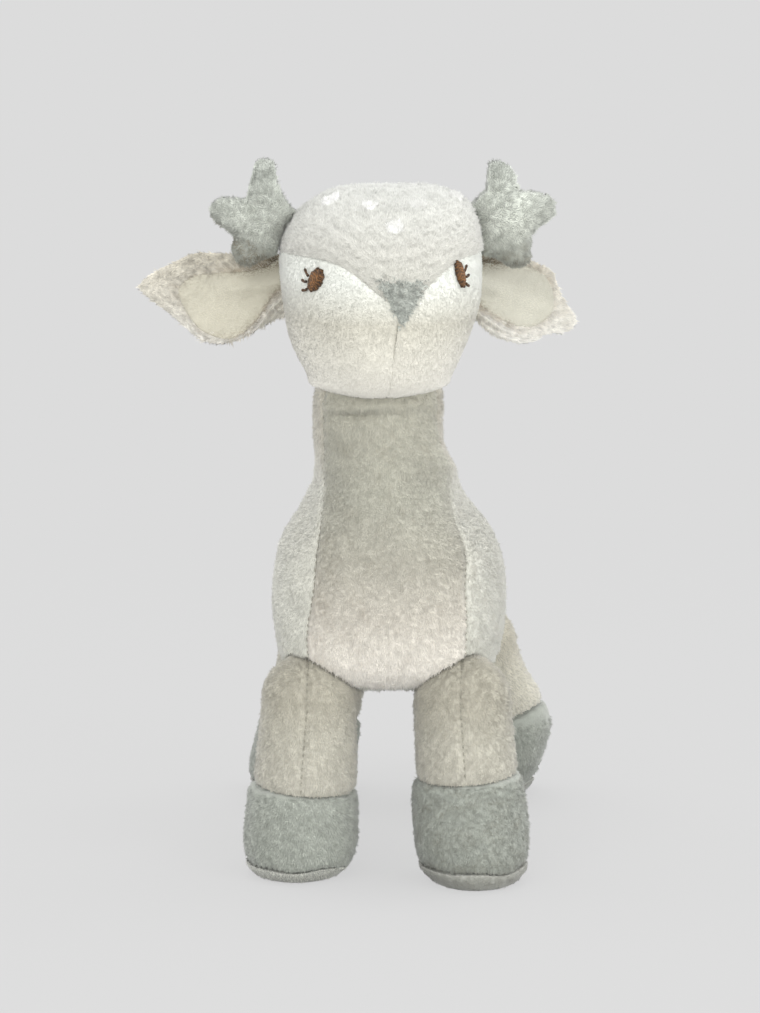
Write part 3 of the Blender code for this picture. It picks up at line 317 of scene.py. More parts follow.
# The patches of light and dark on the body: how strong, and how large each kind
PATCH_SHADE = 0.035
WIDE_PATCH = 0.011
SMALL_PATCH = 0.005
# Painted light on each body panel: the left side lighter, the right side a little darker
SIDE_SHADES = {"chest": 1.0, "side_left": 1.10, "side_right": 0.99}
# Each leg: painted light on its cloth, its hoof and its sole, lighter on the better-lit legs, then the
# slant of its hoof's seam and the bend above its hoof
LEG_PAINTED_LIGHT_AND_BENDS = {
    "front_left": (1.08, 1.22, 1.62, 0.075, 0.0),
    "front_right": (1.01, 0.93, 0.91, 0.075, 0.0),
    "rear_left": (1.08, 1.10, 1.0, 0.075, 0.0),
    "rear_right": (1.25, 1.10, 1.0, 0.42, 0.0032),
}

SEED = 7



def linear(red, green, blue):
    """A colour written as 0 to 255 on a screen, as linear light."""
    value = np.array((red, green, blue)) / 255
    return tuple(np.where(value <= 0.04045, value / 12.92, ((value + 0.055) / 1.055) ** 2.4))


def unit(vectors):
    """The vectors at length one."""
    return vectors / np.maximum(np.linalg.norm(vectors, axis=-1, keepdims=True), 1e-12)


def between(low, high, share):
    """The value that lies a share of the way from one to the other."""
    return low + share * (high - low)


def ease(value):
    """0 to 1 with a level start and end."""
    value = np.clip(value, 0.0, 1.0)
    return value * value * (3.0 - 2.0 * value)


def rows_at(table, along):
    """The table's rows read at fractional places, on a Catmull-Rom curve through them."""
    table = np.asarray(table, dtype=float)
    along = np.clip(np.asarray(along, dtype=float), 0.0, len(table) - 1.0)
    first = np.minimum(along.astype(int), len(table) - 2)
    part = (along - first)[..., None]
    before = table[np.maximum(first - 1, 0)]
    here = table[first]
    after = table[first + 1]
    beyond = table[np.minimum(first + 2, len(table) - 1)]
    return 0.5 * (2 * here + (after - before) * part
                  + (2 * before - 5 * here + 4 * after - beyond) * part ** 2
                  + (3 * here - before - 3 * after + beyond) * part ** 3)


def form_point(table, around, along):
    """Points of a form of stacked rings: a ring is a rounded box in plan, |cos|^p + |sin|^p = 1 for
    each turn, scaled to its front, rear and half width, on a plane that slopes from front to rear."""
    around, along = np.broadcast_arrays(np.asarray(around, float), np.asarray(along, float))
    front, rear, half, low, high, widest, square_front, square_rear, lean = np.moveaxis(
        rows_at(table, along), -1, 0)
    cos, sin = np.cos(around), np.sin(around)
    power = square_front * (1 + cos) / 2 + square_rear * (1 - cos) / 2
    reach = (np.abs(cos) ** power + np.abs(sin) ** power) ** (-1 / power)
    middle = front + widest * (rear - front)
    y = middle - np.where(cos > 0, middle - front, rear - middle) * reach * cos
    x = lean + half * reach * sin
    z = low + (high - low) * (y - front) / np.maximum(rear - front, 1e-4)
    return np.stack([x, y, z], axis=-1)


def form_normal(table, around, along):
    """Outward normals of the form: the cross product of its slopes round it and up it."""
    step = 0.02
    last = len(table) - 1
    turn = form_point(table, around + step, along) - form_point(table, around - step, along)
    climb = (form_point(table, around, np.minimum(along + step, last))
             - form_point(table, around, np.maximum(along - step, 0)))
    pole = np.zeros_like(turn)
    pole[..., 2] = np.where(np.broadcast_to(along, turn.shape[:-1]) > last / 2, 1.0, -1.0)
    flat = np.linalg.norm(turn, axis=-1, keepdims=True) < 1e-5
    return np.where(flat, pole, unit(np.cross(turn, climb)))


def inside_form(table, points):
    """How far inside a form of rings the points are: the ring through each point's height is found
    among sampled rings, and the ring's rounded-box value is returned, under 1 inside."""
    along = np.linspace(0.3, len(table) - 1.0, 90)
    front, rear, half, low, high, widest, square_front, square_rear, lean = rows_at(table, along).T
    flat = points.reshape(-1, 3)
    y = flat[:, 1:2]
    slope = np.clip((y - front) / (rear - front), 0.0, 1.0)
    ring = np.argmin(np.abs(low + (high - low) * slope - flat[:, 2:3]), axis=1)
    middle = front[ring] + widest[ring] * (rear[ring] - front[ring])
    length = np.where(flat[:, 1] < middle, middle - front[ring], rear[ring] - middle)
    power = square_front[ring]
    value = (np.abs((flat[:, 0] - lean[ring]) / half[ring]) ** power
             + np.abs((flat[:, 1] - middle) / length) ** power) ** (1 / power)
    outside = (flat[:, 2] < BELLY_HEIGHT) | (flat[:, 2] > NECK_TOP_HEIGHT)
    return np.where(outside, 9.0, value).reshape(points.shape[:-1])


def ripple(points, size, seed, count=12):
    """A smooth random field of three components, about -1 to 1: sine waves of about the given size,
    whose directions, lengths and phases are drawn once from the seed."""
    draw = np.random.default_rng(seed)
    ways = unit(draw.normal(size=(count, 3))) / (size * draw.uniform(0.7, 1.5, (count, 1)))
    phases = draw.uniform(0, 2 * math.pi, (count, 3))
    angle = 2 * math.pi * (points @ ways.T)
    return np.sin(angle[..., None] + phases).sum(axis=-2) * math.sqrt(1.2 / count)


def grid_normals(points, rough, wrap):
    """A grid's normals from its own slopes, turned to the side of the rough normals given."""
    down = np.gradient(points, axis=0)
    if wrap:
        across = np.roll(points, -1, axis=1) - np.roll(points, 1, axis=1)
    else:
        across = np.gradient(points, axis=1)
    normal = np.cross(across, down)
    weak = np.linalg.norm(normal, axis=-1, keepdims=True) < 1e-12
    normal = unit(normal) * np.where(np.sum(normal * rough, axis=-1, keepdims=True) < 0, -1.0, 1.0)
    return np.where(weak, rough, normal)


def edge_measures(points):
    """Each grid edge's distance from every point, along rows or columns, and the run along the edge."""
    across = np.linalg.norm(np.diff(points, axis=1), axis=-1)
    down = np.linalg.norm(np.diff(points, axis=0), axis=-1)
    from_left = np.pad(np.cumsum(across, axis=1), ((0, 0), (1, 0)))
    from_low = np.pad(np.cumsum(down, axis=0), ((1, 0), (0, 0)))
    ones = np.ones(points.shape[:2])
    return {
        "left": (from_left, from_low[:, :1] * ones),
        "right": (from_left[:, -1:] - from_left, from_low[:, -1:] * ones),
        "low": (from_low, from_left[:1] * ones),
        "high": (from_low[-1:] - from_low, from_left[-1:] * ones),
    }


def sew(points, normals, seams, seed, depth=1.0):
    """Draw a surface in along its seams: a bell-shaped groove of the seam's depth at each one, short
    puckers that fade with the distance from it, and slow lumps of the filling everywhere.

    Each seam is a pair: the distance of every point from it, and the run along it. Returns the
    points and how close each lies to a seam, 0 to 1.
    """
    drop = np.zeros(points.shape[:2])
    close = np.zeros(points.shape[:2])
    wander = ripple(points, PUCKER_PITCH * 3, seed)[..., 0]
    for distance, run in seams:
        near = np.exp(-(distance / SEAM_WIDTH) ** 2)
        pull = 0.8 + 0.2 * np.sin(2 * math.pi * run / STITCH_PITCH)
        fold = np.exp(-distance / PUCKER_REACH) * np.sin(2 * math.pi * run / PUCKER_PITCH + 2.5 * wander)
        drop += depth * (SEAM_DEPTH * near * pull + PUCKER_DEPTH * fold)
        close = np.maximum(close, near)
    lumps = LUMP_HEIGHT * ripple(points, LUMP_SIZE, seed + 1)[..., 0]
    return points + (lumps - drop)[..., None] * normals, close


def shell(front, back=None, wrap=False, first_pole=False, last_pole=False):
    """Vertices and triangles of a closed body: a grid and, if given, the grid behind it, joined by a
    rim along each open edge. A pole row counts as one point. Faces point out: volume is positive."""
    rows, columns = front.shape[:2]
    index = np.arange(rows * columns).reshape(rows, columns)
    if first_pole:
        index[0] = index[0, 0]
    if last_pole:
        index[-1] = index[-1, 0]
    if wrap:
        index = np.concatenate([index, index[:, :1]], axis=1)
    corners = front.reshape(-1, 3)
    cells = np.stack([index[:-1, :-1], index[:-1, 1:], index[1:, 1:], index[1:, :-1]], -1)
    quads = [cells.reshape(-1, 4)]
    if back is not None:
        shift = rows * columns
        corners = np.concatenate([corners, back.reshape(-1, 3)])
        quads.append(quads[0][:, ::-1] + shift)
        edges = []
        if not first_pole:
            edges.append(index[0])
        if not last_pole:
            edges.append(index[-1, ::-1])
        if not wrap:
            edges += [index[::-1, 0], index[:, -1]]
        for edge in edges:
            quads.append(np.stack([edge[1:], edge[:-1], edge[:-1] + shift, edge[1:] + shift], -1))
    quads = np.concatenate(quads)
    triangles = np.concatenate([quads[:, [0, 1, 2]], quads[:, [0, 2, 3]]])
    a, b, c = triangles.T
    triangles = triangles[(a != b) & (b != c) & (a != c)]
    used, inverse = np.unique(triangles, return_inverse=True)
    corners, triangles = corners[used], inverse.reshape(-1, 3)
    a, b, c = (corners[triangles[:, k]] for k in range(3))
    if np.sum(a * np.cross(b, c)) < 0:
        triangles = triangles[:, ::-1]
    return corners, triangles


def pile(points, normals, nap, seed, wrap=False, length=PILE_LENGTH, density=PILE_DENSITY,
         lean=PILE_LEAN, clump=PILE_CLUMP, chance=PILE_CHANCE, round_=0.55, cover=None, height=None,
         shade=None):
    """Spikes on a grid's surface, as many on each cell as its area asks for.

    A spike is a slim closed pyramid on three corners. Its direction is the surface's normal, plus
    the nap's direction times the lean, plus a smooth random field that gathers neighbours into
    clumps, plus a little chance. cover thins the pile and height shortens it, each a grid of 0 to 1;
    shade is a grid too, by which the spikes' colour is multiplied, and which holds painted light and
    shade.
    shade is a grid too, by which the spikes' colour is multiplied.
    A spike is lit as the cloth under it is, and as its own round side by the share given.
    """
    draw = np.random.default_rng(seed)
    ones = np.ones(points.shape[:2])
    cover = ones if cover is None else cover
    height = ones if height is None else height
    shade = ones if shade is None else shade * ones
    layers = np.concatenate([points, normals, nap, height[..., None], shade[..., None],
                             cover[..., None]],
                            axis=-1)
    if wrap:
        layers = np.concatenate([layers, layers[:, :1]], axis=1)
    a, b, c, d = layers[:-1, :-1], layers[:-1, 1:], layers[1:, 1:], layers[1:, :-1]
    area = np.linalg.norm(np.cross(c[..., :3] - a[..., :3], d[..., :3] - b[..., :3]), axis=-1) / 2
    wanted = np.cumsum((area * (a + c)[..., -1] / 2 * density).ravel())
    count = int(wanted[-1])
    cell = np.searchsorted(wanted, (np.arange(count) + draw.uniform(size=count)) * wanted[-1] / count)
    cell = np.minimum(cell, wanted.size - 1)
    u, v = draw.uniform(size=(2, count, 1))
    a, b, c, d = (part.reshape(-1, layers.shape[-1])[cell] for part in (a, b, c, d))
    here = (a * (1 - u) + b * u) * (1 - v) + (d * (1 - u) + c * u) * v
    root, normal, way = here[:, :3], unit(here[:, 3:6]), here[:, 6:9]
    tall, shade = here[:, 9], here[:, 10]
    gather = ripple(root, CLUMP_SIZE, seed + 11)
    grow = unit(normal + lean * way + clump * gather + chance * draw.normal(size=(count, 3)))
    low = np.sum(grow * normal, axis=1)
    grow = unit(grow + normal * np.maximum(0.25 - low, 0.0)[:, None])
    size = length * tall * (0.85 + 0.22 * gather[:, 0] + 0.16 * draw.normal(size=count))
    size = np.clip(size, 0.25 * length, 1.7 * length)
    side = unit(np.cross(grow, normal + 0.3 * draw.normal(size=(count, 3))))
    other = np.cross(grow, side)
    turn = draw.uniform(0, 2 * math.pi, (count, 1)) + np.arange(3) * 2 * math.pi / 3
    ring = np.cos(turn)[..., None] * side[:, None] + np.sin(turn)[..., None] * other[:, None]
    foot = (root - ROOT_SINK * normal)[:, None] + SPIKE_RADIUS * ring
    tip = (root + size[:, None] * grow)[:, None]
    corners = np.concatenate([foot, tip], axis=1).reshape(-1, 3)
    facing = np.concatenate([normal[:, None] + round_ * ring, (normal + 0.35 * grow)[:, None]], axis=1)
    facing = unit(facing).reshape(-1, 3)
    pattern = np.array([(0, 2, 1), (0, 1, 3), (1, 2, 3), (2, 0, 3)])
    triangles = (4 * np.arange(count)[:, None, None] + pattern).reshape(-1, 3)
    speck = ripple(root, SPECK_SIZE, seed + 12, count=18)[:, 0]
    tone = np.clip(0.5 + 0.10 * gather[:, 1] + 0.24 * speck + 0.10 * draw.normal(size=count), 0.0, 1.0)
    tip_share = np.tile((0.0, 0.0, 0.0, 1.0), count)
    return corners, triangles, facing, np.repeat(tone, 4), tip_share, np.repeat(shade, 4)


def make_piece(name, shells, spikes, material, stitches=(), thread_skin=None):
    """One object from closed bodies and spikes, with three attributes: tone, a chance shade that each
    spike keeps, tip, which is 1 at a spike's tip and 0 on the cloth, and shade, half of what the
    colour there is multiplied by, which holds painted light and shade and some strokes and patches."""
    corners, triangles, facing, tone, tip, shade = [], [], [], [], [], []
    start = 0
    for points, faces in shells:
        corners.append(points)
        triangles.append(faces + start)
        tone.append(np.full(len(points), 0.5))
        tip.append(np.zeros(len(points)))
        shade.append(np.full(len(points), 0.5))
        start += len(points)
    for points, faces in stitches:
        corners.append(points)
        triangles.append(faces + start)
        tone.append(np.full(len(points), 0.5))
        tip.append(np.ones(len(points)))
        shade.append(np.full(len(points), 0.5))
        start += len(points)
    cloth_corners = start
    for points, faces, spike_facing, spike_tone, spike_tip, spike_shade in spikes:
        corners.append(points)
        triangles.append(faces + start)
        tone.append(spike_tone)
        tip.append(spike_tip)
        shade.append(spike_shade / 2)
        facing.append(spike_facing)
        start += len(points)
    corners, triangles = np.concatenate(corners), np.concatenate(triangles)
    mesh = bpy.data.meshes.new(name)
    mesh.vertices.add(len(corners))
    mesh.vertices.foreach_set("co", corners.astype(np.float32).ravel())
    mesh.loops.add(triangles.size)
    mesh.loops.foreach_set("vertex_index", triangles.astype(np.int32).ravel())
    mesh.polygons.add(len(triangles))
    mesh.polygons.foreach_set("loop_start", np.arange(0, triangles.size, 3, dtype=np.int32))
    mesh.update(calc_edges=True)
    for key, value in (("tone", tone), ("tip", tip), ("shade", shade)):
        layer = mesh.attributes.new(key, "FLOAT", "POINT")
        layer.data.foreach_set("value", np.concatenate(value).astype(np.float32))
    mesh.shade_smooth()
    if facing:
        normals = np.zeros(len(corners) * 3, dtype=np.float32)
        mesh.vertex_normals.foreach_get("vector", normals)
        normals = normals.reshape(-1, 3)
        normals[cloth_corners:] = np.concatenate(facing)
        mesh.normals_split_custom_set_from_vertices(normals)
    mesh.materials.append(material)
    if stitches:
        mesh.materials.append(thread_skin)
        first = sum(len(faces) for _, faces in shells)
        last = first + sum(len(faces) for _, faces in stitches)
        which = np.zeros(len(triangles), dtype=np.int32)
        which[first:last] = 1
        mesh.polygons.foreach_set("material_index", which)
    piece = bpy.data.objects.new(name, mesh)
    bpy.context.scene.collection.objects.link(piece)
    return piece


def stitch_line(line, normals, move):
    """Running stitches along a line on the cloth: slim closed rods, bowed outwards, each a share of
    the pitch long. A rod's rings shrink to a point at both ends."""
    run = np.concatenate([[0.0], np.cumsum(np.linalg.norm(np.diff(line, axis=0), axis=-1))])
    share = np.linspace(0.0, 1.0, 7)
    angle = np.linspace(0.0, 2 * math.pi, 9)[None, :-1, None]
    swell = STITCH_RADIUS * np.sqrt(np.clip(1.0 - (2 * share - 1) ** 4, 0.0, 1.0))[:, None, None]
    rods = []
    for start in np.arange(0.3 * STITCH_PITCH, run[-1] - STITCH_PITCH, STITCH_PITCH):
        here = start + STITCH_SHARE * STITCH_PITCH * share
        middle = np.stack([np.interp(here, run, line[:, k]) for k in range(3)], axis=-1)
        out = unit(np.stack([np.interp(here, run, normals[:, k]) for k in range(3)], axis=-1))
        middle = middle + (STITCH_RISE + STITCH_BOW * np.sin(math.pi * share))[:, None] * out
        side = np.cross(unit(np.gradient(middle, axis=0)), out)
        grid = middle[:, None] + swell * (np.cos(angle) * side[:, None] + np.sin(angle) * out[:, None])
        rods.append(shell(move(grid), wrap=True, first_pole=True, last_pole=True))
    return rods


def dress(piece, body, nodes):
    """Say which body a piece rides on, and hide the CAD nodes it stands for."""
    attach(piece, body)
    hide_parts(*nodes)
    return piece


def node(material, kind, place, **inputs):
    """A shader node with its named inputs set to values or joined to other nodes' outputs."""
    made = material.node_tree.nodes.new(kind)
    made.location = place
    for key, value in inputs.items():
        socket = made.inputs[key.replace("_", " ")]
        if isinstance(value, bpy.types.NodeSocket):
            material.node_tree.links.new(value, socket)
        else:
            socket.default_value = value
    return made


def mixed(material, place, blend, share, first, second):
    """A colour mix node's result; share, first and second are values or outputs."""
    made = material.node_tree.nodes.new("ShaderNodeMix")
    made.data_type = "RGBA"
    made.blend_type = blend
    made.location = place
    for socket, value in ((made.inputs[0], share), (made.inputs[6], first), (made.inputs[7], second)):
        if isinstance(value, bpy.types.NodeSocket):
            material.node_tree.links.new(value, socket)
        else:
            socket.default_value = value
    return made.outputs[2]


def ramp(material, place, factor, stops):
    """A colour ramp through (place, colour) stops."""
    made = material.node_tree.nodes.new("ShaderNodeValToRGB")
    made.location = place
    material.node_tree.links.new(factor, made.inputs["Fac"])
    elements = made.color_ramp.elements
    while len(elements) < len(stops):
        elements.new(0.5)
    for element, (where, colour) in zip(elements, stops):
        element.position = where
        element.color = (*colour, 1.0)
    return made.outputs["Color"]


def plush(name, stops, low=0.0, high=1.0, root=0.86, mottle=0.08, sheen=0.45, tint=(1.0, 1.0, 1.0)):
    """Short-pile plush: its colour by height between low and high, where some ramps hold painted light
    and shade, darker at the roots than at the tips as painted shade among the pile, with a mottle of
    clumps, chance tones from spike to spike, the shade attribute's painted light and shade with its
    strokes and patches, and a soft sheen at its edges."""
    material = bpy.data.materials.new(name)
    material.use_nodes = True
    tree = material.node_tree
    shader = tree.nodes["Principled BSDF"]
    place = node(material, "ShaderNodeTexCoord", (-1400, 0))
    if len(stops) > 1:
        height = node(material, "ShaderNodeSeparateXYZ", (-1200, 200), Vector=place.outputs["Object"])
        share = node(material, "ShaderNodeMapRange", (-1020, 200), Value=height.outputs["Z"],
                     From_Min=low, From_Max=high)
        base = ramp(material, (-840, 200), share.outputs["Result"], stops)
    else:
        base = (*stops[0][1], 1.0)
    clumps = node(material, "ShaderNodeTexNoise", (-1020, -60), Vector=place.outputs["Object"],
                  Scale=330.0, Detail=3.0, Roughness=0.6)
    shade = ramp(material, (-840, -60), clumps.outputs["Fac"],
                 ((0.30, (1.0 - mottle,) * 3), (0.68, (1.0 + mottle * 0.5,) * 3)))
    colour = mixed(material, (-560, 120), "MULTIPLY", 1.0, base, shade)
    tone = node(material, "ShaderNodeAttribute", (-1020, -320))
    tone.attribute_name = "tone"
    chance = ramp(material, (-840, -320), tone.outputs["Fac"],
                  ((0.1, (1.0 - mottle * 0.9,) * 3), (0.9, (1.0 + mottle * 0.7,) * 3)))
    colour = mixed(material, (-380, 60), "MULTIPLY", 1.0, colour, chance)
    # The roots darker and the tips a little lighter: painted shade among the pile
    tip = node(material, "ShaderNodeAttribute", (-1020, -560))
    tip.attribute_name = "tip"
    depth = ramp(material, (-840, -560), tip.outputs["Fac"], ((0.0, (root,) * 3), (0.7, (1.03,) * 3)))
    colour = mixed(material, (-200, 20), "MULTIPLY", 1.0, colour, depth)
    # The shade attribute's multiplier, warm brown where it darkens: painted light and shade, with strokes
    # and patches
    shade = node(material, "ShaderNodeAttribute", (-1020, -800))
    shade.attribute_name = "shade"
    fall = ramp(material, (-840, -800), shade.outputs["Fac"],
                ((0.0, (0.0,) * 3), (0.25, (0.56, 0.50, 0.43)), (0.5, (1.0,) * 3), (1.0, (2.0,) * 3)))
    colour = mixed(material, (-20, -20), "MULTIPLY", 1.0, colour, fall)
    tree.links.new(colour, shader.inputs["Base Color"])
    fine = node(material, "ShaderNodeTexNoise", (-560, -400), Vector=place.outputs["Object"],
                Scale=1500.0, Detail=2.0)
    bump = node(material, "ShaderNodeBump", (-200, -400), Strength=0.5, Distance=0.0004,
                Height=fine.outputs["Fac"])
    tree.links.new(bump.outputs["Normal"], shader.inputs["Normal"])
    shader.inputs["Roughness"].default_value = 0.92
    shader.inputs["Specular IOR Level"].default_value = 0.15
    shader.inputs["Sheen Weight"].default_value = sheen
    shader.inputs["Sheen Roughness"].default_value = 0.45
    shader.inputs["Sheen Tint"].default_value = (*tint, 1.0)
    return material


def one_colour(*rgb):
    """The stops of a ramp that has a single colour."""
    return ((0.0, linear(*rgb)),)


def thread(name, dark, light, ridge):
    """Embroidery thread: satin stitches side by side, told apart by a wave along the eye's long axis,
    which the piece's own UV map holds from its middle out; the stitches darken towards the rim."""
    material = bpy.data.materials.new(name)
    material.use_nodes = True
    tree = material.node_tree
    shader = tree.nodes["Principled BSDF"]
    place = node(material, "ShaderNodeTexCoord", (-1100, 0))
    wave = node(material, "ShaderNodeTexWave", (-900, 0), Vector=place.outputs["UV"], Scale=ridge,
                Distortion=12.0, Detail=3.0)
    wave.bands_direction = "Y"
    from_middle = node(material, "ShaderNodeVectorMath", (-900, 300))
    from_middle.operation = "DISTANCE"
    tree.links.new(place.outputs["UV"], from_middle.inputs[0])
    from_middle.inputs[1].default_value = (0.5, 0.5, 0.0)
    rim = ramp(material, (-640, 300), from_middle.outputs["Value"],
               ((0.10, (1.12,) * 3), (0.19, (0.85,) * 3), (0.25, (0.50,) * 3)))
    patch = node(material, "ShaderNodeTexNoise", (-900, -300), Vector=place.outputs["Object"],
                 Scale=700.0,
                 Detail=2.0)
    base = ramp(material, (-640, 0), wave.outputs["Fac"], ((0.1, linear(*dark)), (0.8, linear(*light))))
    shade = ramp(material, (-640, -300), patch.outputs["Fac"],
                 ((0.35, (0.52,) * 3), (0.65, (1.30,) * 3)))
    colour = mixed(material, (-360, 0), "MULTIPLY", 1.0, base, shade)
    colour = mixed(material, (-180, 60), "MULTIPLY", 1.0, colour, rim)
    tree.links.new(colour, shader.inputs["Base Color"])
    bump = node(material, "ShaderNodeBump", (-300, -260), Strength=0.6, Distance=0.0003,
                Height=wave.outputs["Fac"])
    tree.links.new(bump.outputs["Normal"], shader.inputs["Normal"])
    shader.inputs["Roughness"].default_value = 0.5
    shader.inputs["Specular IOR Level"].default_value = 0.4
    return material


def body_table():
    """The body's and the neck's rings in metres, one above the other."""
    ahead = BELLY_MIDDLE + CHEST_REACH
    behind = RUMP_REACH - BELLY_MIDDLE
    height = BACK_HEIGHT - BELLY_HEIGHT
    rows = [(BELLY_MIDDLE - front * ahead, BELLY_MIDDLE + rear * behind, half * BODY_HALF_WIDTH,
             BELLY_HEIGHT + low * height, BELLY_HEIGHT + high * height, widest, square, round_,
             lean * NECK_LEAN)
            for front, rear, half, low, high, widest, square, round_, lean in BODY_RING_SHARES]
    rows += [(-front * NECK_RADIUS, rear * NECK_RADIUS, half * NECK_RADIUS,
              BACK_HEIGHT + low * NECK_LENGTH, BACK_HEIGHT + high * NECK_LENGTH, widest, square, round_,
              lean * NECK_LEAN)
             for front, rear, half, low, high, widest, square, round_, lean in NECK_RING_SHARES]
    return rows


def head_table():
    """The head's rings in metres, from the circle that takes the neck to the top of the crown."""
    mouth = NECK_RADIUS + NECK_CLEARANCE
    rows = [(-mouth, mouth, mouth, HEAD_BOTTOM, HEAD_BOTTOM, 0.5, 2.0, 2.0, 0.0)]
    rows += [(-front * NOSE_REACH, rear * HEAD_BACK_REACH, half * HEAD_HALF_WIDTH,
              HEAD_BOTTOM + up * HEAD_HEIGHT, HEAD_BOTTOM + up * HEAD_HEIGHT, widest, square, round_,
              lean * CROWN_LEAN)
             for front, rear, half, up, widest, square, round_, lean in HEAD_RING_SHARES]
    rows.append((HEAD_TOP_PLACE, HEAD_TOP_PLACE, 0.0, HEAD_TOP, HEAD_TOP, 0.5, 2.0, 2.0, CROWN_LEAN))
    return rows


def chest_seams(along):
    """The turns of the chest panel's left and right seams at each ring: narrow on the chest, wide
    round the neck; at the shoulder each keeps its line where the body grows wide."""
    widening = ease((along - CHEST_SEAM_RING) / NECK_SEAM_RINGS)
    middle = CHEST_SEAM_TURN + (NECK_SEAM_TURN - CHEST_SEAM_TURN) * widening
    left = middle - 0.075 * np.exp(-((along - 5.9) / 1.1) ** 2)
    right = middle * (1 + RIGHT_SEAM_SPREAD * (1 - widening))
    right = right + 0.14 * np.exp(-((along - 6.8) / 1.1) ** 2)
    return left, right


def crown_seam(around):
    """The ring where the crown meets the cheeks: level at the sides, dipping to the nose and behind."""
    turn = np.abs(np.arctan2(np.sin(around), np.cos(around)))
    front = np.exp(-(turn / FRONT_DIP_TURN) ** 2)
    rear = np.exp(-((math.pi - turn) / BACK_DIP_TURN) ** 2)
    return CROWN_SEAM_SIDE - CROWN_SEAM_FRONT_DIP * front - CROWN_SEAM_BACK_DIP * rear


def twisted(turns, along):
    """Turns round the body, swung a little with the head towards the top of the neck's front."""
    twist = NECK_TWIST * ease((along - CHEST_SEAM_RING) / NECK_SEAM_RINGS)
    return turns + twist * (1 + np.cos(turns)) / 2


def hip_places():
    """Each leg's name, hip, foot, hoof height and sole height, about the neck's axis."""
    places = []
    for side, sign, hip, splay, step, hoof, sole in (
            ("left", -1, LEFT_HIP_PLACE, LEFT_FOOT_SPLAY, LEFT_FOOT_STEP, SHORT_HOOF_HEIGHT,
             THIN_SOLE_HEIGHT),
            ("right", 1, RIGHT_HIP_PLACE, RIGHT_FOOT_SPLAY, RIGHT_FOOT_STEP, TALL_HOOF_HEIGHT,
             THICK_SOLE_HEIGHT)):
        places.append((f"front_{side}", np.array((sign * hip, FRONT_HIP_PLACE, HIP_HEIGHT)),
                       np.array((sign * (hip + splay), FRONT_HIP_PLACE - step)), hoof, sole))
        places.append((f"rear_{side}", np.array((sign * RIGHT_HIP_PLACE, REAR_HIP_PLACE, HIP_HEIGHT)),
                       np.array((sign * (RIGHT_HIP_PLACE + REAR_FOOT_SPLAY),
                                 REAR_HIP_PLACE - REAR_FOOT_STEP)),
                       SHORT_HOOF_HEIGHT, THIN_SOLE_HEIGHT))
    return places


def sink_pockets(points, normals):
    """Push the body's surface in round each leg's top: a point inside a hip's ball moves against its
    normal to the ball's far side. Returns the points, 1 where a point stayed and 0 where it moved,
    and how close each lies to a ball, 0 to 1."""
    radius = LEG_TOP_RADIUS + POCKET_CLEARANCE - CLOTH_INSET
    stayed = np.ones(points.shape[:2])
    fringe = np.zeros(points.shape[:2])
    for _, hip, *_ in hip_places():
        offset = points - hip
        toward = -np.sum(offset * normals, axis=-1)
        under = np.sum(offset * offset, axis=-1) - radius ** 2
        inside = under < 0
        depth = -toward + np.sqrt(np.maximum(toward ** 2 - under, 0.0))
        clear = np.sqrt(np.maximum(under, 0.0) + radius ** 2) - radius
        fringe = np.maximum(fringe, np.exp(-(clear / FRINGE_REACH) ** 2))
        points = np.where(inside[..., None], points - depth[..., None] * normals, points)
        stayed = np.where(inside, 0.0, stayed)
    return points, stayed, fringe


def cloth(points, normals, seams, seed, wrap=False, depth=1.0):
    """A panel's sewn cloth: the form's surface let down by the cloth's inset and drawn in along its
    seams. Returns the outer grid, its normals, the inner grid and how close each point is to a seam."""
    outer, close = sew(points - CLOTH_INSET * normals, normals, seams, seed, depth)
    return outer, grid_normals(outer, normals, wrap), outer - WALL * normals, close


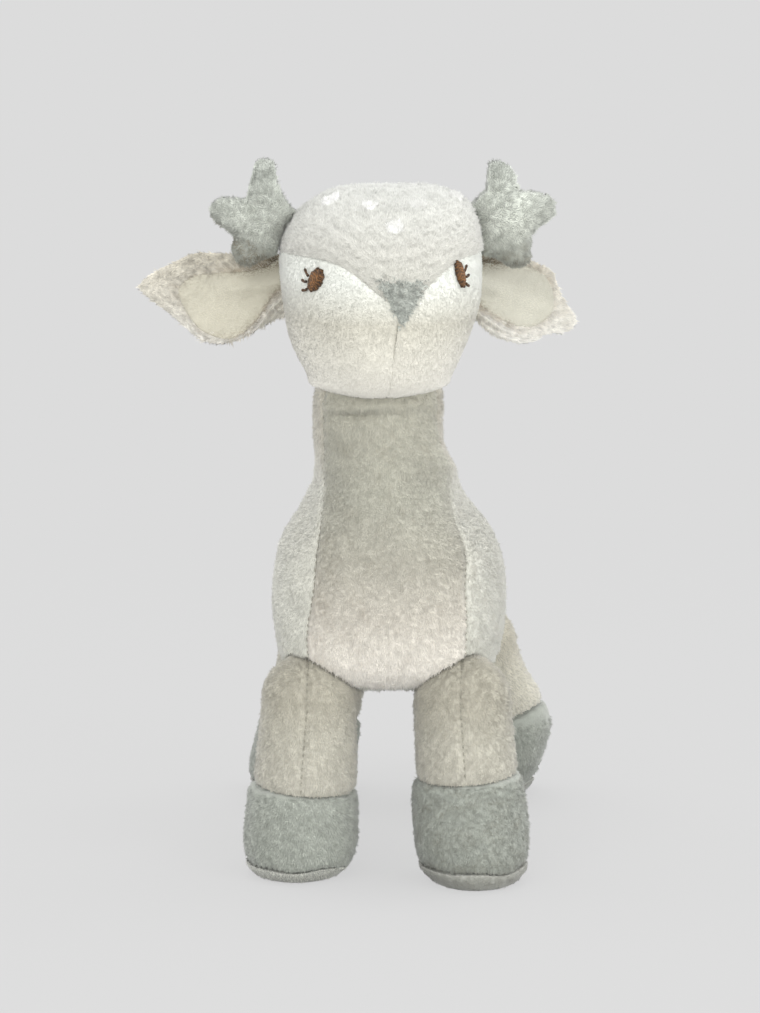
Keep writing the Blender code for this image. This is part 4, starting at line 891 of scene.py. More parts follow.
def add_body(move, skins):
    """The chest, the two sides and the belly, each a closed cloth with its pile."""
    table = body_table()
    top = len(table) - 1.0
    along = np.linspace(BELLY_SEAM, top, 118)[:, None]
    left, right = chest_seams(along)
    flank = np.linspace(0.0, 1.0, 100)[None, :]
    panels = (
        ("chest", between(-left, right, np.linspace(0.0, 1.0, 72)[None, :]), skins["chest"],
         "plush_body",
         ("chest_panel", "neck_filling"), 1.0),
        ("side_right", right + (math.pi - right) * flank, skins["side"], "plush_side",
         ("side_right", "torso_filling"), 0.86),
        ("side_left", math.pi + (math.pi - left) * flank, skins["side"], "plush_side",
         ("side_left",), 0.86),
    )
    for number, (name, turns, skin, slot, nodes, thick) in enumerate(panels):
        turns = twisted(turns, along)
        points = form_point(table, turns, along)
        normals = form_normal(table, turns, along)
        edges = edge_measures(points)
        seams = [edges[side] for side in ("left", "right", "low")]
        outer, _, inner, close = cloth(points, normals, seams, SEED + 10 * number)
        fold = neck_fold(outer, turns)[..., None] * normals
        outer, inner = outer - fold, inner - fold
        outer, stayed, fringe = sink_pockets(outer, normals)
        inner = np.where(stayed[..., None] > 0.5, inner, outer - WALL * normals)
        facing = grid_normals(outer, normals, False)
        under_head = np.where(outer[..., 2] > HEAD_BOTTOM + 0.001, 0.0, 1.0)
        nap = -unit(np.gradient(outer, axis=0))
        patches = PATCH_SHADE * ripple(points, WIDE_PATCH, SEED + 15)[..., 0]
        patches = patches + PATCH_SHADE * ripple(points, SMALL_PATCH, SEED + 16)[..., 0]
        # Painted light: each panel lighter or darker by SIDE_SHADES, and the chest's right side lighter
        # than its left round 0.118 m up
        border = np.exp(-((points[..., 2] - 0.118) / 0.024) ** 2)
        shade = SIDE_SHADES[name] + patches + 2.2 * points[..., 0] * border * (name == "chest")
        hair = pile(outer, facing, nap, SEED + 10 * number, cover=stayed * under_head * thick,
                    shade=shade,
                    clump=0.40, height=np.maximum(1.0 - 0.45 * close, FRINGE_SHARE * fringe))
        lines = []
        if name == "chest":
            shown = (stayed[:, 0] > 0.5) & (under_head[:, 0] > 0.5)
            lines = [rod for edge in (0, -1)
                     for rod in stitch_line(outer[shown, edge], normals[shown, edge], move)]
        piece = make_piece(f"plush_{name}", [shell(move(outer), move(inner))], [moved(hair, move)],
                           skin,
                           lines, skins["thread"])
        dress(piece, "torso", nodes)
    along = np.linspace(0.0, BELLY_SEAM, 40)[:, None]
    turns = np.linspace(0.0, 2 * math.pi, 181)[None, :-1]
    points = form_point(table, turns, along)
    normals = form_normal(table, turns, along)
    outer, _, inner, close = cloth(points, normals, [edge_measures(points)["high"]], SEED + 40, True)
    outer, stayed, fringe = sink_pockets(outer, normals)
    inner = np.where(stayed[..., None] > 0.5, inner, outer - WALL * normals)
    nap = np.zeros_like(outer) + (0.0, 1.0, 0.0)
    hair = pile(outer, grid_normals(outer, normals, True), nap, SEED + 40, wrap=True,
                density=0.5 * PILE_DENSITY, cover=stayed,
                height=np.maximum(1.0 - 0.45 * close, FRINGE_SHARE * fringe))
    piece = make_piece("plush_belly", [shell(move(outer), move(inner), wrap=True, first_pole=True)],
                       [moved(hair, move)], skins["side"])
    dress(piece, "torso", ("belly_panel",))


def neck_fold(points, turns):
    """How far the cloth is drawn in at the fold across the neck's front, under the head: a bell-shaped
    valley with a soft roll above it, which fade out towards the neck's sides."""
    height = points[..., 2] - FOLD_HEIGHT - FOLD_WAVE * np.sin(3.1 * turns + 0.6)
    valley = np.exp(-(height / FOLD_WIDTH) ** 2 - ((turns - FOLD_PLACE) / FOLD_TURN) ** 2)
    roll = np.exp(-((height - 1.9 * FOLD_WIDTH) / (1.5 * FOLD_WIDTH)) ** 2 - (turns / ROLL_TURN) ** 2)
    return FOLD_DEPTH * valley - ROLL_HEIGHT * roll


def moved(spikes, move):
    """Spikes with their corners and their facing moved."""
    corners, triangles, facing, *marks = spikes
    return move(corners), triangles, move(facing) - move(np.zeros((1, 3))), *marks


def add_head(move, skins):
    """The crown and the cheeks, each a closed cloth with its pile, the nose, the spots and the eyes."""
    table = head_table()
    top = len(table) - 1.0
    around = np.linspace(0.0, 2 * math.pi, 221)[None, :-1]
    rise = np.linspace(1.0, 0.0, 58)[:, None]
    seam = crown_seam(around)
    along = seam + (top - seam) * rise
    points, normals = form_point(table, around, along), form_normal(table, around, along)
    outer, facing, inner, close = cloth(points, normals, [edge_measures(points)["high"]], SEED + 50,
                                        True,
                                        depth=0.35)
    back = unit(np.array((0.0, 1.0, 0.25)))
    nap = unit(back - np.sum(facing * back, axis=-1, keepdims=True) * facing)
    hair = pile(outer, facing, nap, SEED + 50, wrap=True, clump=0.8, round_=0.8,
                height=1.0 + 0.15 * close)
    piece = make_piece("plush_crown", [shell(move(outer), move(inner), wrap=True, first_pole=True)],
                       [moved(hair, move)], skins["crown"])
    dress(piece, "head", ("crown_gusset", "head_filling"))
    share = np.linspace(0.0, 1.0, 60)[:, None]
    for number, (side, sign) in enumerate((("left", -1.0), ("right", 1.0))):
        turns = sign * np.linspace(0.0, math.pi, 100)[None, :]
        along = crown_seam(turns) * share
        points, normals = form_point(table, turns, along), form_normal(table, turns, along)
        low = np.exp(-((points[..., 2] - HEAD_BOTTOM) / CHIN_REACH) ** 2)
        points[..., 2] += CHIN_RISE * np.sin(turns) ** 2 * low
        edges = edge_measures(points)
        outer, facing, inner, close = cloth(points, normals,
                                            [edges[k] for k in ("left", "right", "high")],
                                            SEED + 60 + number, depth=0.25)
        nap = -unit(np.gradient(outer, axis=0))
        hair = pile(outer, facing, nap, SEED + 60 + number, length=0.65 * PILE_LENGTH, clump=0.04,
                    lean=1.6, chance=0.08, round_=0.22)
        piece = make_piece(f"plush_cheek_{side}", [shell(move(outer), move(inner))],
                           [moved(hair, move)],
                           skins["cheek"])
        dress(piece, "head", (f"cheek_{side}",))
    add_nose(table, move, skins)
    add_spots(table, move, skins)
    add_eye("left", -1.0, LEFT_EYE_TURN, LEFT_EYE_RISE, LEFT_EYE, LEFT_LASHES, table, move, skins)
    add_eye("right", 1.0, RIGHT_EYE_TURN, RIGHT_EYE_RISE, RIGHT_EYE, RIGHT_LASHES, table, move, skins)


def ring_at(table, height):
    """The place among the head's rings at a height above the floor."""
    heights = [row[3] for row in table]
    return float(np.interp(height, heights, range(len(heights))))


def on_form(table, around, along, right, up):
    """Points and normals of the form at distances to the right of and above a place on it. The form's
    slopes there, round it and up it, aren't square to each other, so the distance above is taken
    square to the slope round it, and the two are solved for a turn and a ring."""
    step = 0.01
    here = form_point(table, around, along)
    turn = (form_point(table, around + step, along) - here) / step
    climb = (form_point(table, around, along + step) - here) / step
    turn_size = np.linalg.norm(turn)
    slant = climb @ turn / turn_size
    rings = up / math.sqrt(climb @ climb - slant ** 2)
    turns = (right - rings * slant) / turn_size
    return form_point(table, around + turns, along + rings), form_normal(table, around + turns,
                                                                         along + rings)


def patch(table, around, along, outline, lift, rows=14):
    """A thin pad on the form: rings of an outline drawn in to its middle, lifted by the given height
    times the root of one less the square of the ring's share, so that its edge lies on the cloth."""
    share = np.linspace(0.0, 1.0, rows)[:, None]
    points, normals = on_form(table, around, along, share * outline[None, :, 0],
                              share * outline[None, :, 1])
    height = lift * np.sqrt(np.clip(1.0 - share ** 2.4, 0.0, 1.0))[..., None]
    base = points - CLOTH_INSET * normals
    return base + height * normals, base - 0.0003 * normals, normals


def add_nose(table, move, skins):
    """The nose: a triangle of grey plush with round corners, its point down."""
    turn = np.linspace(0.0, 2 * math.pi, 73)[:-1]
    corners = np.array([(NOSE_HALF_WIDTH, NOSE_TOP_REACH), (-NOSE_HALF_WIDTH, NOSE_TOP_REACH),
                        (0.0, -NOSE_POINT_REACH)])
    inverse = np.zeros_like(turn)
    for first, second in zip(corners, np.roll(corners, -1, axis=0)):
        side = second - first
        normal = np.array([side[1], -side[0]]) / np.linalg.norm(side)
        distance = abs(normal @ first)
        facing = (np.cos(turn) * normal[0] + np.sin(turn) * normal[1]) * np.sign(normal @ first)
        inverse += (np.maximum(facing, 0.0) / distance) ** NOSE_CORNER_POWER
    reach = inverse ** (-1 / NOSE_CORNER_POWER)
    outline = reach[:, None] * np.stack([np.cos(turn), np.sin(turn)], axis=-1)
    ring = ring_at(table, HEAD_BOTTOM + NOSE_RISE)
    front, back, normals = patch(table, NOSE_TURN, ring, outline, 0.0008)
    wide, _, wide_normals = patch(table, NOSE_TURN, ring, 1.3 * outline, 0.0009)
    rim = np.linspace(0.0, 1.3, len(wide))[:, None] + 0.10 * ripple(wide, 0.004, SEED + 71)[..., 0]
    outward = unit(wide - wide[:1] + 1e-7)
    nap = unit(0.5 * outward + (0.0, -0.3, -0.8))
    hair = pile(wide, wide_normals, nap, SEED + 70, wrap=True, density=4.2e6, clump=1.1, lean=0.8,
                length=1.15 * PILE_LENGTH, cover=1.0 - ease((rim - 0.8) / 0.42))
    piece = make_piece("plush_nose", [shell(move(front), move(back), wrap=True, first_pole=True)],
                       [moved(hair, move)], skins["nose"])
    dress(piece, "head", ("nose",))


def add_spots(table, move, skins):
    """The small white spots on the crown, each a round patch of pile."""
    turn = np.linspace(0.0, 2 * math.pi, 37)[:-1]
    circle = SPOT_RADIUS * np.stack([np.cos(turn), np.sin(turn)], axis=-1)
    for number, (degrees, rise, size, skin) in enumerate(SPOTS, start=1):
        around = math.radians(degrees)
        low = float(crown_seam(around))
        along = low + rise * (len(table) - 1 - low)
        front, back, normals = patch(table, around, along, size * circle, 0.0006, rows=6)
        nap = np.zeros_like(front) + (0.0, 1.0, 0.25)
        hair = pile(front, normals, nap, SEED + 80 + number, wrap=True, density=4e6, clump=0.9,
                    length=1.2 * PILE_LENGTH)
        piece = make_piece(f"plush_spot_{number}", [shell(move(front), move(back), wrap=True,
                                                          first_pole=True)],
                           [moved(hair, move)], skins[skin])
        dress(piece, "head", (f"spot_{number}",))


def add_eye(side, sign, turn, rise, shape, lashes, table, move, skins):
    """An eye in satin stitch: a leaning oval, domed, with ridges along its stitches, and three lashes
    that are thick stitches of their own."""
    ring = ring_at(table, HEAD_BOTTOM + rise)
    half_width, half_height, lean = shape
    angle = np.linspace(0.0, 2 * math.pi, 97)[None, :-1]
    share = np.linspace(0.0, 1.0, 22)[:, None]
    ragged = 1.0 + 0.05 * np.sin(9 * angle + sign) + 0.03 * np.sin(17 * angle)
    across = share * half_width * np.cos(angle) * (1.0 + 0.10 * np.sin(angle)) * ragged
    long = share * half_height * np.sin(angle) * ragged
    lean = -sign * lean
    right = across * math.cos(lean) + long * math.sin(lean)
    up = -across * math.sin(lean) + long * math.cos(lean)
    points, normals = on_form(table, sign * turn, ring, right, up)
    wobble = 0.00035 * ripple(points, 0.0030, SEED + 90)[..., 0]
    stitch = 0.5 + 0.5 * np.cos(2 * math.pi * (long + 0.25 * across + wobble) / EYE_STITCH)
    height = (EYE_SWELL + 0.00007 * stitch) * np.sqrt(np.clip(1.0 - share ** 3, 0.0, 1.0))
    front = points + (height - 0.0002)[..., None] * normals
    back = points - 0.0008 * normals
    shells = [shell(move(front), move(back), wrap=True, first_pole=True)]
    for start, finish in lashes:
        shells.append(lash(table, sign, turn, ring, start, finish, move))
    piece = make_piece(f"stitched_eye_{side}", shells, [], skins["eye"])
    layer = piece.data.uv_layers.new(name="OFBake")
    corners = np.zeros(len(piece.data.vertices) * 3)
    piece.data.vertices.foreach_get("co", corners)
    loops = np.zeros(len(piece.data.loops), dtype=np.int32)
    piece.data.loops.foreach_get("vertex_index", loops)
    middle, basis = move(points[:1, 0]), []
    for offset in ((1.0, 0.0), (0.0, 1.0)):
        step = 0.001 * np.array((offset[0] * math.cos(lean) + offset[1] * math.sin(lean),
                                 offset[1] * math.cos(lean) - offset[0] * math.sin(lean)))
        basis.append(unit(move(on_form(table, sign * turn, ring, *step)[0][None]) - middle)[0])
    away = corners.reshape(-1, 3)[loops] - middle
    run = np.stack([0.5 + 0.25 * (away @ basis[0]) / half_width,
                    0.5 + 0.25 * (away @ basis[1]) / half_height], axis=-1)
    layer.data.foreach_set("uv", run.astype(np.float32).ravel())
    dress(piece, "head", (f"eye_{side}",))


def lash(table, sign, turn, ring, start, finish, move):
    """One lash: a tapering round bar along a bowed line on the form, from start to finish."""
    share = np.linspace(0.0, 1.0, 12)
    first, last = np.array(start) / 1000, np.array(finish) / 1000
    line = first + share[:, None] * (last - first)
    line[:, 1] -= 0.0005 * np.sin(math.pi * share)
    middle, normals = on_form(table, sign * turn, ring, sign * line[:, 0], line[:, 1])
    middle = middle + 0.0003 * normals
    way = unit(np.gradient(middle, axis=0))
    side = np.cross(way, normals)
    knob = 1.1 - 0.35 * share + 0.30 * np.exp(-((share - 0.82) / 0.14) ** 2)
    radius = 0.00056 * knob * np.sqrt(np.clip(1.0 - (2 * share - 1) ** 10, 0.0, 1.0))
    radius = np.maximum(radius, 0.00002)
    angle = np.linspace(0.0, 2 * math.pi, 11)[None, :-1, None]
    grid = middle[:, None] + radius[:, None, None] * (np.cos(angle) * side[:, None]
                                                      + np.sin(angle) * normals[:, None])
    grid[0] = middle[0]
    grid[-1] = middle[-1]
    return shell(move(grid), wrap=True, first_pole=True, last_pole=True)


def leg_grid(rings, hip, foot, around, rows, seam, sole_seam, slope, bend):
    """A leg's surface: the rings' heights and radii read along a smooth curve, round a centre line
    that runs from hip to foot, straight or with a bend out above the hoof and in below it, and is a
    little longer than wide near the foot. Near the hoof's seam it slants up outwards, and near the
    sole's seam it waves."""
    height, radius = rows_at(rings, np.linspace(0.0, len(rings) - 1.0, rows)).T
    drop = np.maximum(-height, 0.0) / hip[2]
    stretch = 1 + (FOOT_LENGTH_SHARE - 1) * drop
    radius = np.maximum(radius, 0.0) * (1 - 60 * bend * ease((drop - 0.6) / 0.4))
    side = math.copysign(1.0, hip[0])
    bow = side * bend * (ease(drop / 0.55) - 2.6 * ease((drop - 0.55) / 0.45))
    x = hip[0] + ((foot[0] - hip[0]) * drop + bow)[:, None] + radius[:, None] * np.sin(around)
    y = hip[1] + ((foot[1] - hip[1]) * drop)[:, None] - (radius * stretch)[:, None] * np.cos(around)
    slant = slope * side * radius[:, None] * np.sin(around)
    wave = SOLE_WAVE * np.sin(5 * around + 40 * hip[0]) * np.cos(around - 0.7)
    near_seam = np.exp(-((height[:, None] - seam) / (SLANT_REACH + 0.02 * slope)) ** 2)
    near_sole = np.exp(-((height[:, None] - sole_seam) / WAVE_REACH) ** 2)
    z = hip[2] + height[:, None] + slant * near_seam + wave * near_sole
    points = np.stack([x, y, z], axis=-1)
    out = np.stack([np.sin(around) + 0 * z, -np.cos(around) + 0 * z, 0 * z], axis=-1)
    down = np.gradient(points, axis=0)
    side = np.stack([np.cos(around) + 0 * z, np.sin(around) + 0 * z, 0 * z], axis=-1)
    normals = unit(np.cross(down, side))
    normals = normals * np.where(np.sum(normals * out, axis=-1, keepdims=True) < -0.2, -1.0, 1.0)
    return points, normals


def add_leg(name, hip, foot, hoof_height, sole_height, body, move, skins, seed):
    """One leg: the cloth with its front and rear seams, the grey hoof and the padded sole."""
    floor = -hip[2]
    seam = floor + hoof_height
    sole_seam = floor + sole_height
    # Painted light for this leg's cloth, hoof and sole, then the seam's slant and the bend
    leg_shade, hoof_shade, sole_shade, slope, bend = LEG_PAINTED_LIGHT_AND_BENDS[name]
    around = np.linspace(0.0, 2 * math.pi, 93)[None, :-1]
    off = np.arctan2(np.sin(around), np.cos(around))
    angles = np.linspace(0.0, math.pi / 2, 6)
    rings = [(LEG_TOP_RADIUS * math.cos(a), LEG_TOP_RADIUS * math.sin(a)) for a in angles]
    rings += [(down * seam, between(LEG_WAIST_RADIUS, LEG_HEM_RADIUS, swell))
              for down, swell in SHIN_RING_SHARES]
    rings.append((seam + 0.0003, LEG_HEM_RADIUS))
    points, normals = leg_grid(rings, hip, foot, around, 62, seam, sole_seam, slope, bend)
    run = hip[2] - points[..., 2]
    hem = points[..., 2] - points[-1:, :, 2]
    seams = [(LEG_WAIST_RADIUS * np.abs(off) + 0 * run, run),
             (LEG_WAIST_RADIUS * (math.pi - np.abs(off)) + 0 * run, run + 0.002),
             (hem, LEG_HEM_RADIUS * around + 0 * run)]
    outer, facing, inner, close = cloth(points, normals, seams, seed, True)
    cover = np.where(inside_form(body, outer) < 0.94, 0.0, 1.0)
    nap = unit(np.gradient(outer, axis=0))
    # Painted light by leg, a random mottle, and lighter towards the back
    shade = leg_shade + 0.05 * ripple(points, 0.006, seed + 5)[..., 0] + 0.05 * (1 - np.cos(around)) / 2
    hair = pile(outer, facing, nap, seed, wrap=True, cover=cover, clump=0.4, shade=shade,
                height=1.0 - 0.35 * close)
    lines = []
    for column in (0, points.shape[1] // 2):
        shown = cover[:, column] > 0.5
        lines += stitch_line(outer[shown, column], facing[shown, column], move)
    piece = make_piece(f"plush_leg_{name}", [shell(move(outer), move(inner), wrap=True,
                                                   first_pole=True)],
                       [moved(hair, move)], skins["leg"], lines, skins["thread"])
    dress(piece, f"leg_{name}", [f"leg_{name}_{part}" for part in ("outer", "inner", "filling")])

    rings = [(seam + tuck, LEG_HEM_RADIUS - tuck - TUCK) for tuck in (2 * TUCK, TUCK)]
    rings += [(between(seam, sole_seam, down), between(LEG_HEM_RADIUS, HOOF_RADIUS, swell))
              for down, swell in HOOF_RING_SHARES]
    rings.append((sole_seam, HOOF_BOTTOM_RADIUS))
    points, normals = leg_grid(rings, hip, foot, around, 38, seam, sole_seam, slope, bend)
    from_top = np.abs(points[..., 2] - points[2:3, :, 2])
    from_sole = points[..., 2] - points[-1:, :, 2]
    run = HOOF_RADIUS * around + 0 * from_top
    outer, facing, inner, close = cloth(points, normals, [(from_top, run), (from_sole, run + 0.003)],
                                        seed + 1, True, depth=0.8)
    cover = np.where(points[..., 2] > hip[2] + seam, 0.0, 1.0)
    strokes = ripple(points * (0.35, 0.35, 1.0), 0.0034, seed + 6, count=20)[..., 0]
    # Painted light by leg, brush strokes and blotches, and painted shade in the seam grooves
    shade = hoof_shade + 0.06 * strokes + 0.04 * ripple(points, 0.009, seed + 7)[..., 0] - 0.10 * close
    hair = pile(outer, facing, unit(np.gradient(outer, axis=0)), seed + 1, wrap=True, cover=cover,
                height=1.0 - 0.2 * close, clump=0.5, shade=shade)
    piece = make_piece(f"plush_hoof_{name}", [shell(move(outer), move(inner), wrap=True)],
                       [moved(hair, move)], skins["hoof"])
    dress(piece, f"leg_{name}", (f"hoof_{name}",))

    rings = [(sole_seam + tuck, HOOF_BOTTOM_RADIUS - tuck - TUCK) for tuck in (2 * TUCK, TUCK)]
    rings.append((sole_seam - 0.0003, HOOF_BOTTOM_RADIUS))
    rings += [(floor + up * sole_height, between(SOLE_FLAT_RADIUS, SOLE_RADIUS, swell))
              for up, swell in SOLE_RING_SHARES]
    points, normals = leg_grid(rings, hip, foot, around, 26, seam, sole_seam, slope, bend)
    from_seam = np.abs(points[..., 2] - points[2:3, :, 2])
    run = SOLE_RADIUS * around + 0 * from_seam
    outer, _, _, close = cloth(points, normals, [(from_seam, run)], seed + 2, True, depth=1.3)
    low = ease((points[..., 2] / sole_height)[..., None] * 2.5)
    outer = points + low * (outer - points)
    outer[..., 2] = np.maximum(outer[..., 2], 0.0)
    shares = np.linspace(0.9, 0.0, 10)[:, None, None]
    flat = outer[-1] * shares + (1 - shares) * outer[-1].mean(axis=0)
    lid = outer[0] * shares[::-1] + (1 - shares[::-1]) * outer[0].mean(axis=0)
    cover = np.where(points[..., 2] > hip[2] + sole_seam, 0.0, 1.0) * low[..., 0]
    # The sole's pile: painted light by leg, and painted shade in its seam's groove
    hair = pile(outer, grid_normals(outer, normals, True), unit(np.gradient(outer, axis=0)), seed + 2,
                wrap=True, length=0.6 * PILE_LENGTH, clump=0.3, cover=cover, height=1.0 - 0.4 * close,
                shade=sole_shade - 0.15 * close)
    hair[0][:, 2] = np.maximum(hair[0][:, 2], 0.0)
    piece = make_piece(f"plush_sole_{name}", [shell(move(np.concatenate([lid, outer, flat])), wrap=True,
                                                    first_pole=True, last_pole=True)],
                       [moved(hair, move)], skins["sole"])
    dress(piece, f"leg_{name}", (f"sole_{name}",))


def seat_on_head(table, around, height, span):
    """A seam line on the head's side: its middle, its upward direction and its outward direction."""
    low = form_point(table, around, ring_at(table, height - span / 2))
    high = form_point(table, around, ring_at(table, height + span / 2))
    ring = ring_at(table, height)
    out = form_normal(table, around, ring)
    up = unit(high - low)
    return form_point(table, around, ring), up, unit(out - up * (out @ up))


def swing(out, up, angle):
    """The outward and forward directions, swung about the seam line; positive swings out forward."""
    side = np.cross(up, out)
    side = -side if side[1] > 0 else side
    return out * math.cos(angle) + side * math.sin(angle), side * math.cos(angle) - out * math.sin(angle)


def ear_rows(edges, rows, across):
    """The shares along the ear and the places across it of a grid between two edges, which a table of
    (share, upper place, lower place) gives; places are in the ear's half heights."""
    shares, upper, lower = rows_at(edges, np.linspace(0.0, len(edges) - 1.0, rows)).T[..., None]
    return np.broadcast_arrays(shares, between(lower, upper, (across + 1) / 2))


def ear_grid(way, up, face, length, shares, places, lift, raised):
    """Points of the ear's leaf: its length times the share, its half height times the place across,
    cupped forward with the square of that place, its tip lifted."""
    opening = np.sin(np.clip(shares, 0.0, 1.0) * math.pi * 0.55)
    cup = EAR_CUP * places ** 2 * opening + raised
    rise = places * EAR_HALF_HEIGHT + lift * np.maximum(shares, 0.0) ** 1.3
    return (shares * length)[..., None] * way + rise[..., None] * up + cup[..., None] * face


def ear_relief(shares, places, lining, way, up, length, seed):
    """How far the leaf stands forward of its smooth bowl: gentle waves, two folds that run out from
    the root, the lower rim rolled forward beside the lining's lower edge, and soft folds along it."""
    wave = 0.0007 * ripple(shares[..., None] * length * way + places[..., None] * 0.018 * up,
                           0.022, seed)[..., 0]
    fold = 0.0016 * np.exp(-((places - 0.42 + 0.9 * shares) / 0.16) ** 2) * (1 - shares)
    fold -= 0.0014 * np.exp(-((places + 0.10 - 0.3 * shares) / 0.20) ** 2) * (1 - shares) ** 2
    edge = np.interp(shares, lining[:, 0], lining[:, 2])
    roll = 0.0034 * np.exp(-((places - edge + 0.24) / 0.17) ** 2) * (1.0 - ease((shares - 0.08) / 0.5))
    below = edge - places
    folds = 0.0007 * np.sin(2 * math.pi * (below / 0.19 + 0.6 * shares)) * ease(below / 0.1)
    return wave + fold + roll + folds * (1.0 - ease((shares - 0.45) / 0.4))


def ear_shade(shares, places, lining, strokes):
    """The leaf's light and dark: a painted fold shadow on both sides of the lining's border, deepest near
    the root, painted shade under the antler near the root, paler out towards the rim, and the pile's
    strokes."""
    upper, lower = (np.interp(shares, lining[:, 0], lining[:, k]) for k in (1, 2))
    inside = np.minimum(np.minimum(upper - places, places - lower), 2.2 * (lining[-1, 0] - shares))
    near = np.exp(-(inside / np.where(inside > 0, 0.13, 0.17)) ** 2)
    deep = 0.12 + 0.28 * (1.0 - ease(shares / 0.7))
    under = 0.26 * (1.0 - ease(shares / 0.5)) * ease((places - 0.35) / 0.5)
    light = 0.06 * ease(inside / 0.5) + 0.18 * ease(-inside / 0.35) * ease((places + 0.3) / 0.5)
    return 1.0 - deep * near - under + light + strokes


def add_ear(side, sign, angle, length, lift, edges, lining, table, move, skins, seed):
    """One ear: the taupe plush leaf, whose rim turns forward, and the smooth cream lining in it."""
    seat, up, out = seat_on_head(table, sign * EAR_TURN, HEAD_BOTTOM + EAR_BASE_RISE, EAR_BASE_SPAN)
    way, face = swing(out, up, angle)
    across = np.linspace(-1.0, 1.0, 46)[None, :]
    shares, places = ear_rows(edges, 66, across)
    lining = np.array(lining)
    relief = ear_relief(shares, places, lining, way, up, length, seed)
    thick = 0.0002 + 0.0014 * np.sqrt(np.clip((1.0 - across ** 6) * (1.03 - shares), 0.0, 1.0))
    front = seat + ear_grid(way, up, face, length, shares, places, lift, relief + thick)
    back = seat + ear_grid(way, up, face, length, shares, places, lift, relief - thick)
    ahead = grid_normals(front, np.broadcast_to(face, front.shape), False)
    behind = grid_normals(back, np.broadcast_to(-face, back.shape), False)
    nap_front = unit(np.gradient(front, axis=0)
                     + 0.8 * np.gradient(front, axis=1) * np.sign(across)[..., None])
    nap_back = unit(np.gradient(back, axis=0))
    upper, lower = (np.interp(shares, lining[:, 0], lining[:, k]) for k in (1, 2))
    rim = np.where((places > upper - 0.05) | (places < lower + 0.05) | (shares > lining[-1, 0]), 1.0,
                   0.0)
    run = np.stack([shares * length * 0.4, places * 0.018, 0 * shares], axis=-1)
    strokes = 0.07 * ripple(run, 0.0028, seed + 5, count=20)[..., 0]
    long, clump = (1.3, 0.9) if sign < 0 else (1.1, 0.6)
    hair = [pile(front, ahead, nap_front, seed, length=long * PILE_LENGTH, cover=rim, clump=clump,
                 lean=1.5, density=1.2 * PILE_DENSITY,
                 shade=ear_shade(shares, places, lining, strokes)),
            pile(back, behind, nap_back, seed + 1, length=1.1 * PILE_LENGTH)]
    piece = make_piece(f"plush_ear_{side}", [shell(move(front), move(back))],
                       [moved(part, move) for part in hair], skins["ear_rim"])
    root = move(seat[None])[0]
    outward = move((seat + out)[None])[0] - root
    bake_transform(piece)
    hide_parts(f"ear_{side}_outer")

    across = np.linspace(-1.0, 1.0, 34)[None, :]
    shares, places = ear_rows(lining, 48, across)
    relief = ear_relief(shares, places, lining, way, up, length, seed)
    end = np.clip(shares / (lining[-1, 0] + 0.01), 0.0, 1.0)
    puff = 0.0011 * np.sqrt(np.clip((1.0 - across ** 4) * (1.0 - end ** 6), 0.0, 1.0))
    front = seat + ear_grid(way, up, face, length, shares, places, lift, 0.0014 + relief + puff)
    back = seat + ear_grid(way, up, face, length, shares, places, lift, 0.0008 + relief)
    ahead = grid_normals(front, np.broadcast_to(face, front.shape), False)
    patches = (0.03 if sign < 0 else 0.05) * ripple(front, 0.016, seed + 6)[..., 0]
    hair = pile(front, ahead, unit(np.gradient(front, axis=0)), seed + 2, length=0.5 * PILE_LENGTH,
                clump=0.12, lean=1.8, shade=ear_shade(shares, places, lining, patches))
    piece = make_piece(f"lining_ear_{side}", [shell(move(front), move(back))], [moved(hair, move)],
                       skins[f"lining_{side}"])
    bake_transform(piece)
    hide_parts(f"ear_{side}_lining")


def antler_outline(corners, lean, stem):
    """The star's outline: its corners cut off twice, then the reach at each turn, up to the head's side.
    The corners are level and the antler's plane leans up from the head, so they are turned back
    by it."""
    points = np.array(corners) / 1000
    for _ in range(2):
        following = np.roll(points, -1, axis=0)
        points = np.stack([0.75 * points + 0.25 * following, 0.25 * points + 0.75 * following], axis=1)
        points = points.reshape(-1, 2)
    turns = np.arctan2(points[:, 1], points[:, 0]) - lean
    order = np.argsort(turns)
    turn = np.linspace(0.0, 2 * math.pi, 181)[:-1]
    reach = np.interp(turn, turns[order], np.hypot(*points[order].T),
                      period=2 * math.pi) - ANTLER_MARGIN
    outline = np.stack([reach * np.cos(turn), reach * np.sin(turn)], axis=-1)
    outline[:, 0] = np.maximum(outline[:, 0], -stem - outline[:,
                                                              1] ** 2 / (2 * HEAD_SIDE_BEND) - 0.0003)
    return outline


def antler_shade(side, base, flat, edge, seed):
    """The antler's light and dark: painted light over its middle, its upper part and its edges, painted
    shade down the lower arm, with dark brush strokes that slant across it, and blotches."""
    light, rise, dark = ANTLER_SHADES[side]
    distance = np.linalg.norm(flat - (0.0, rise), axis=-1)
    # Painted light over the middle and the upper part, painted shade down the lower arm, a painted
    # highlight along the edges
    middle = light * np.exp(-(distance / 0.012) ** 2) + 0.12 * ease((flat[..., 1] - 0.002) / 0.016)
    low = dark * ease((-flat[..., 1] - 0.006) / 0.010)
    painted_edge_light = 0.14 * np.exp(-(edge / 0.0016) ** 2)
    slant = base @ np.array([(0.35, 0.0, 0.9), (0.0, 0.3, 0.0), (-0.8, 0.0, 0.35)])
    strokes = ripple(slant, 0.0034, seed + 5, count=20)[..., 0]
    blotches = ripple(base, 0.0085, seed + 6)[..., 0]
    return 1.04 + middle + painted_edge_light - low + 0.10 * strokes + 0.06 * blotches


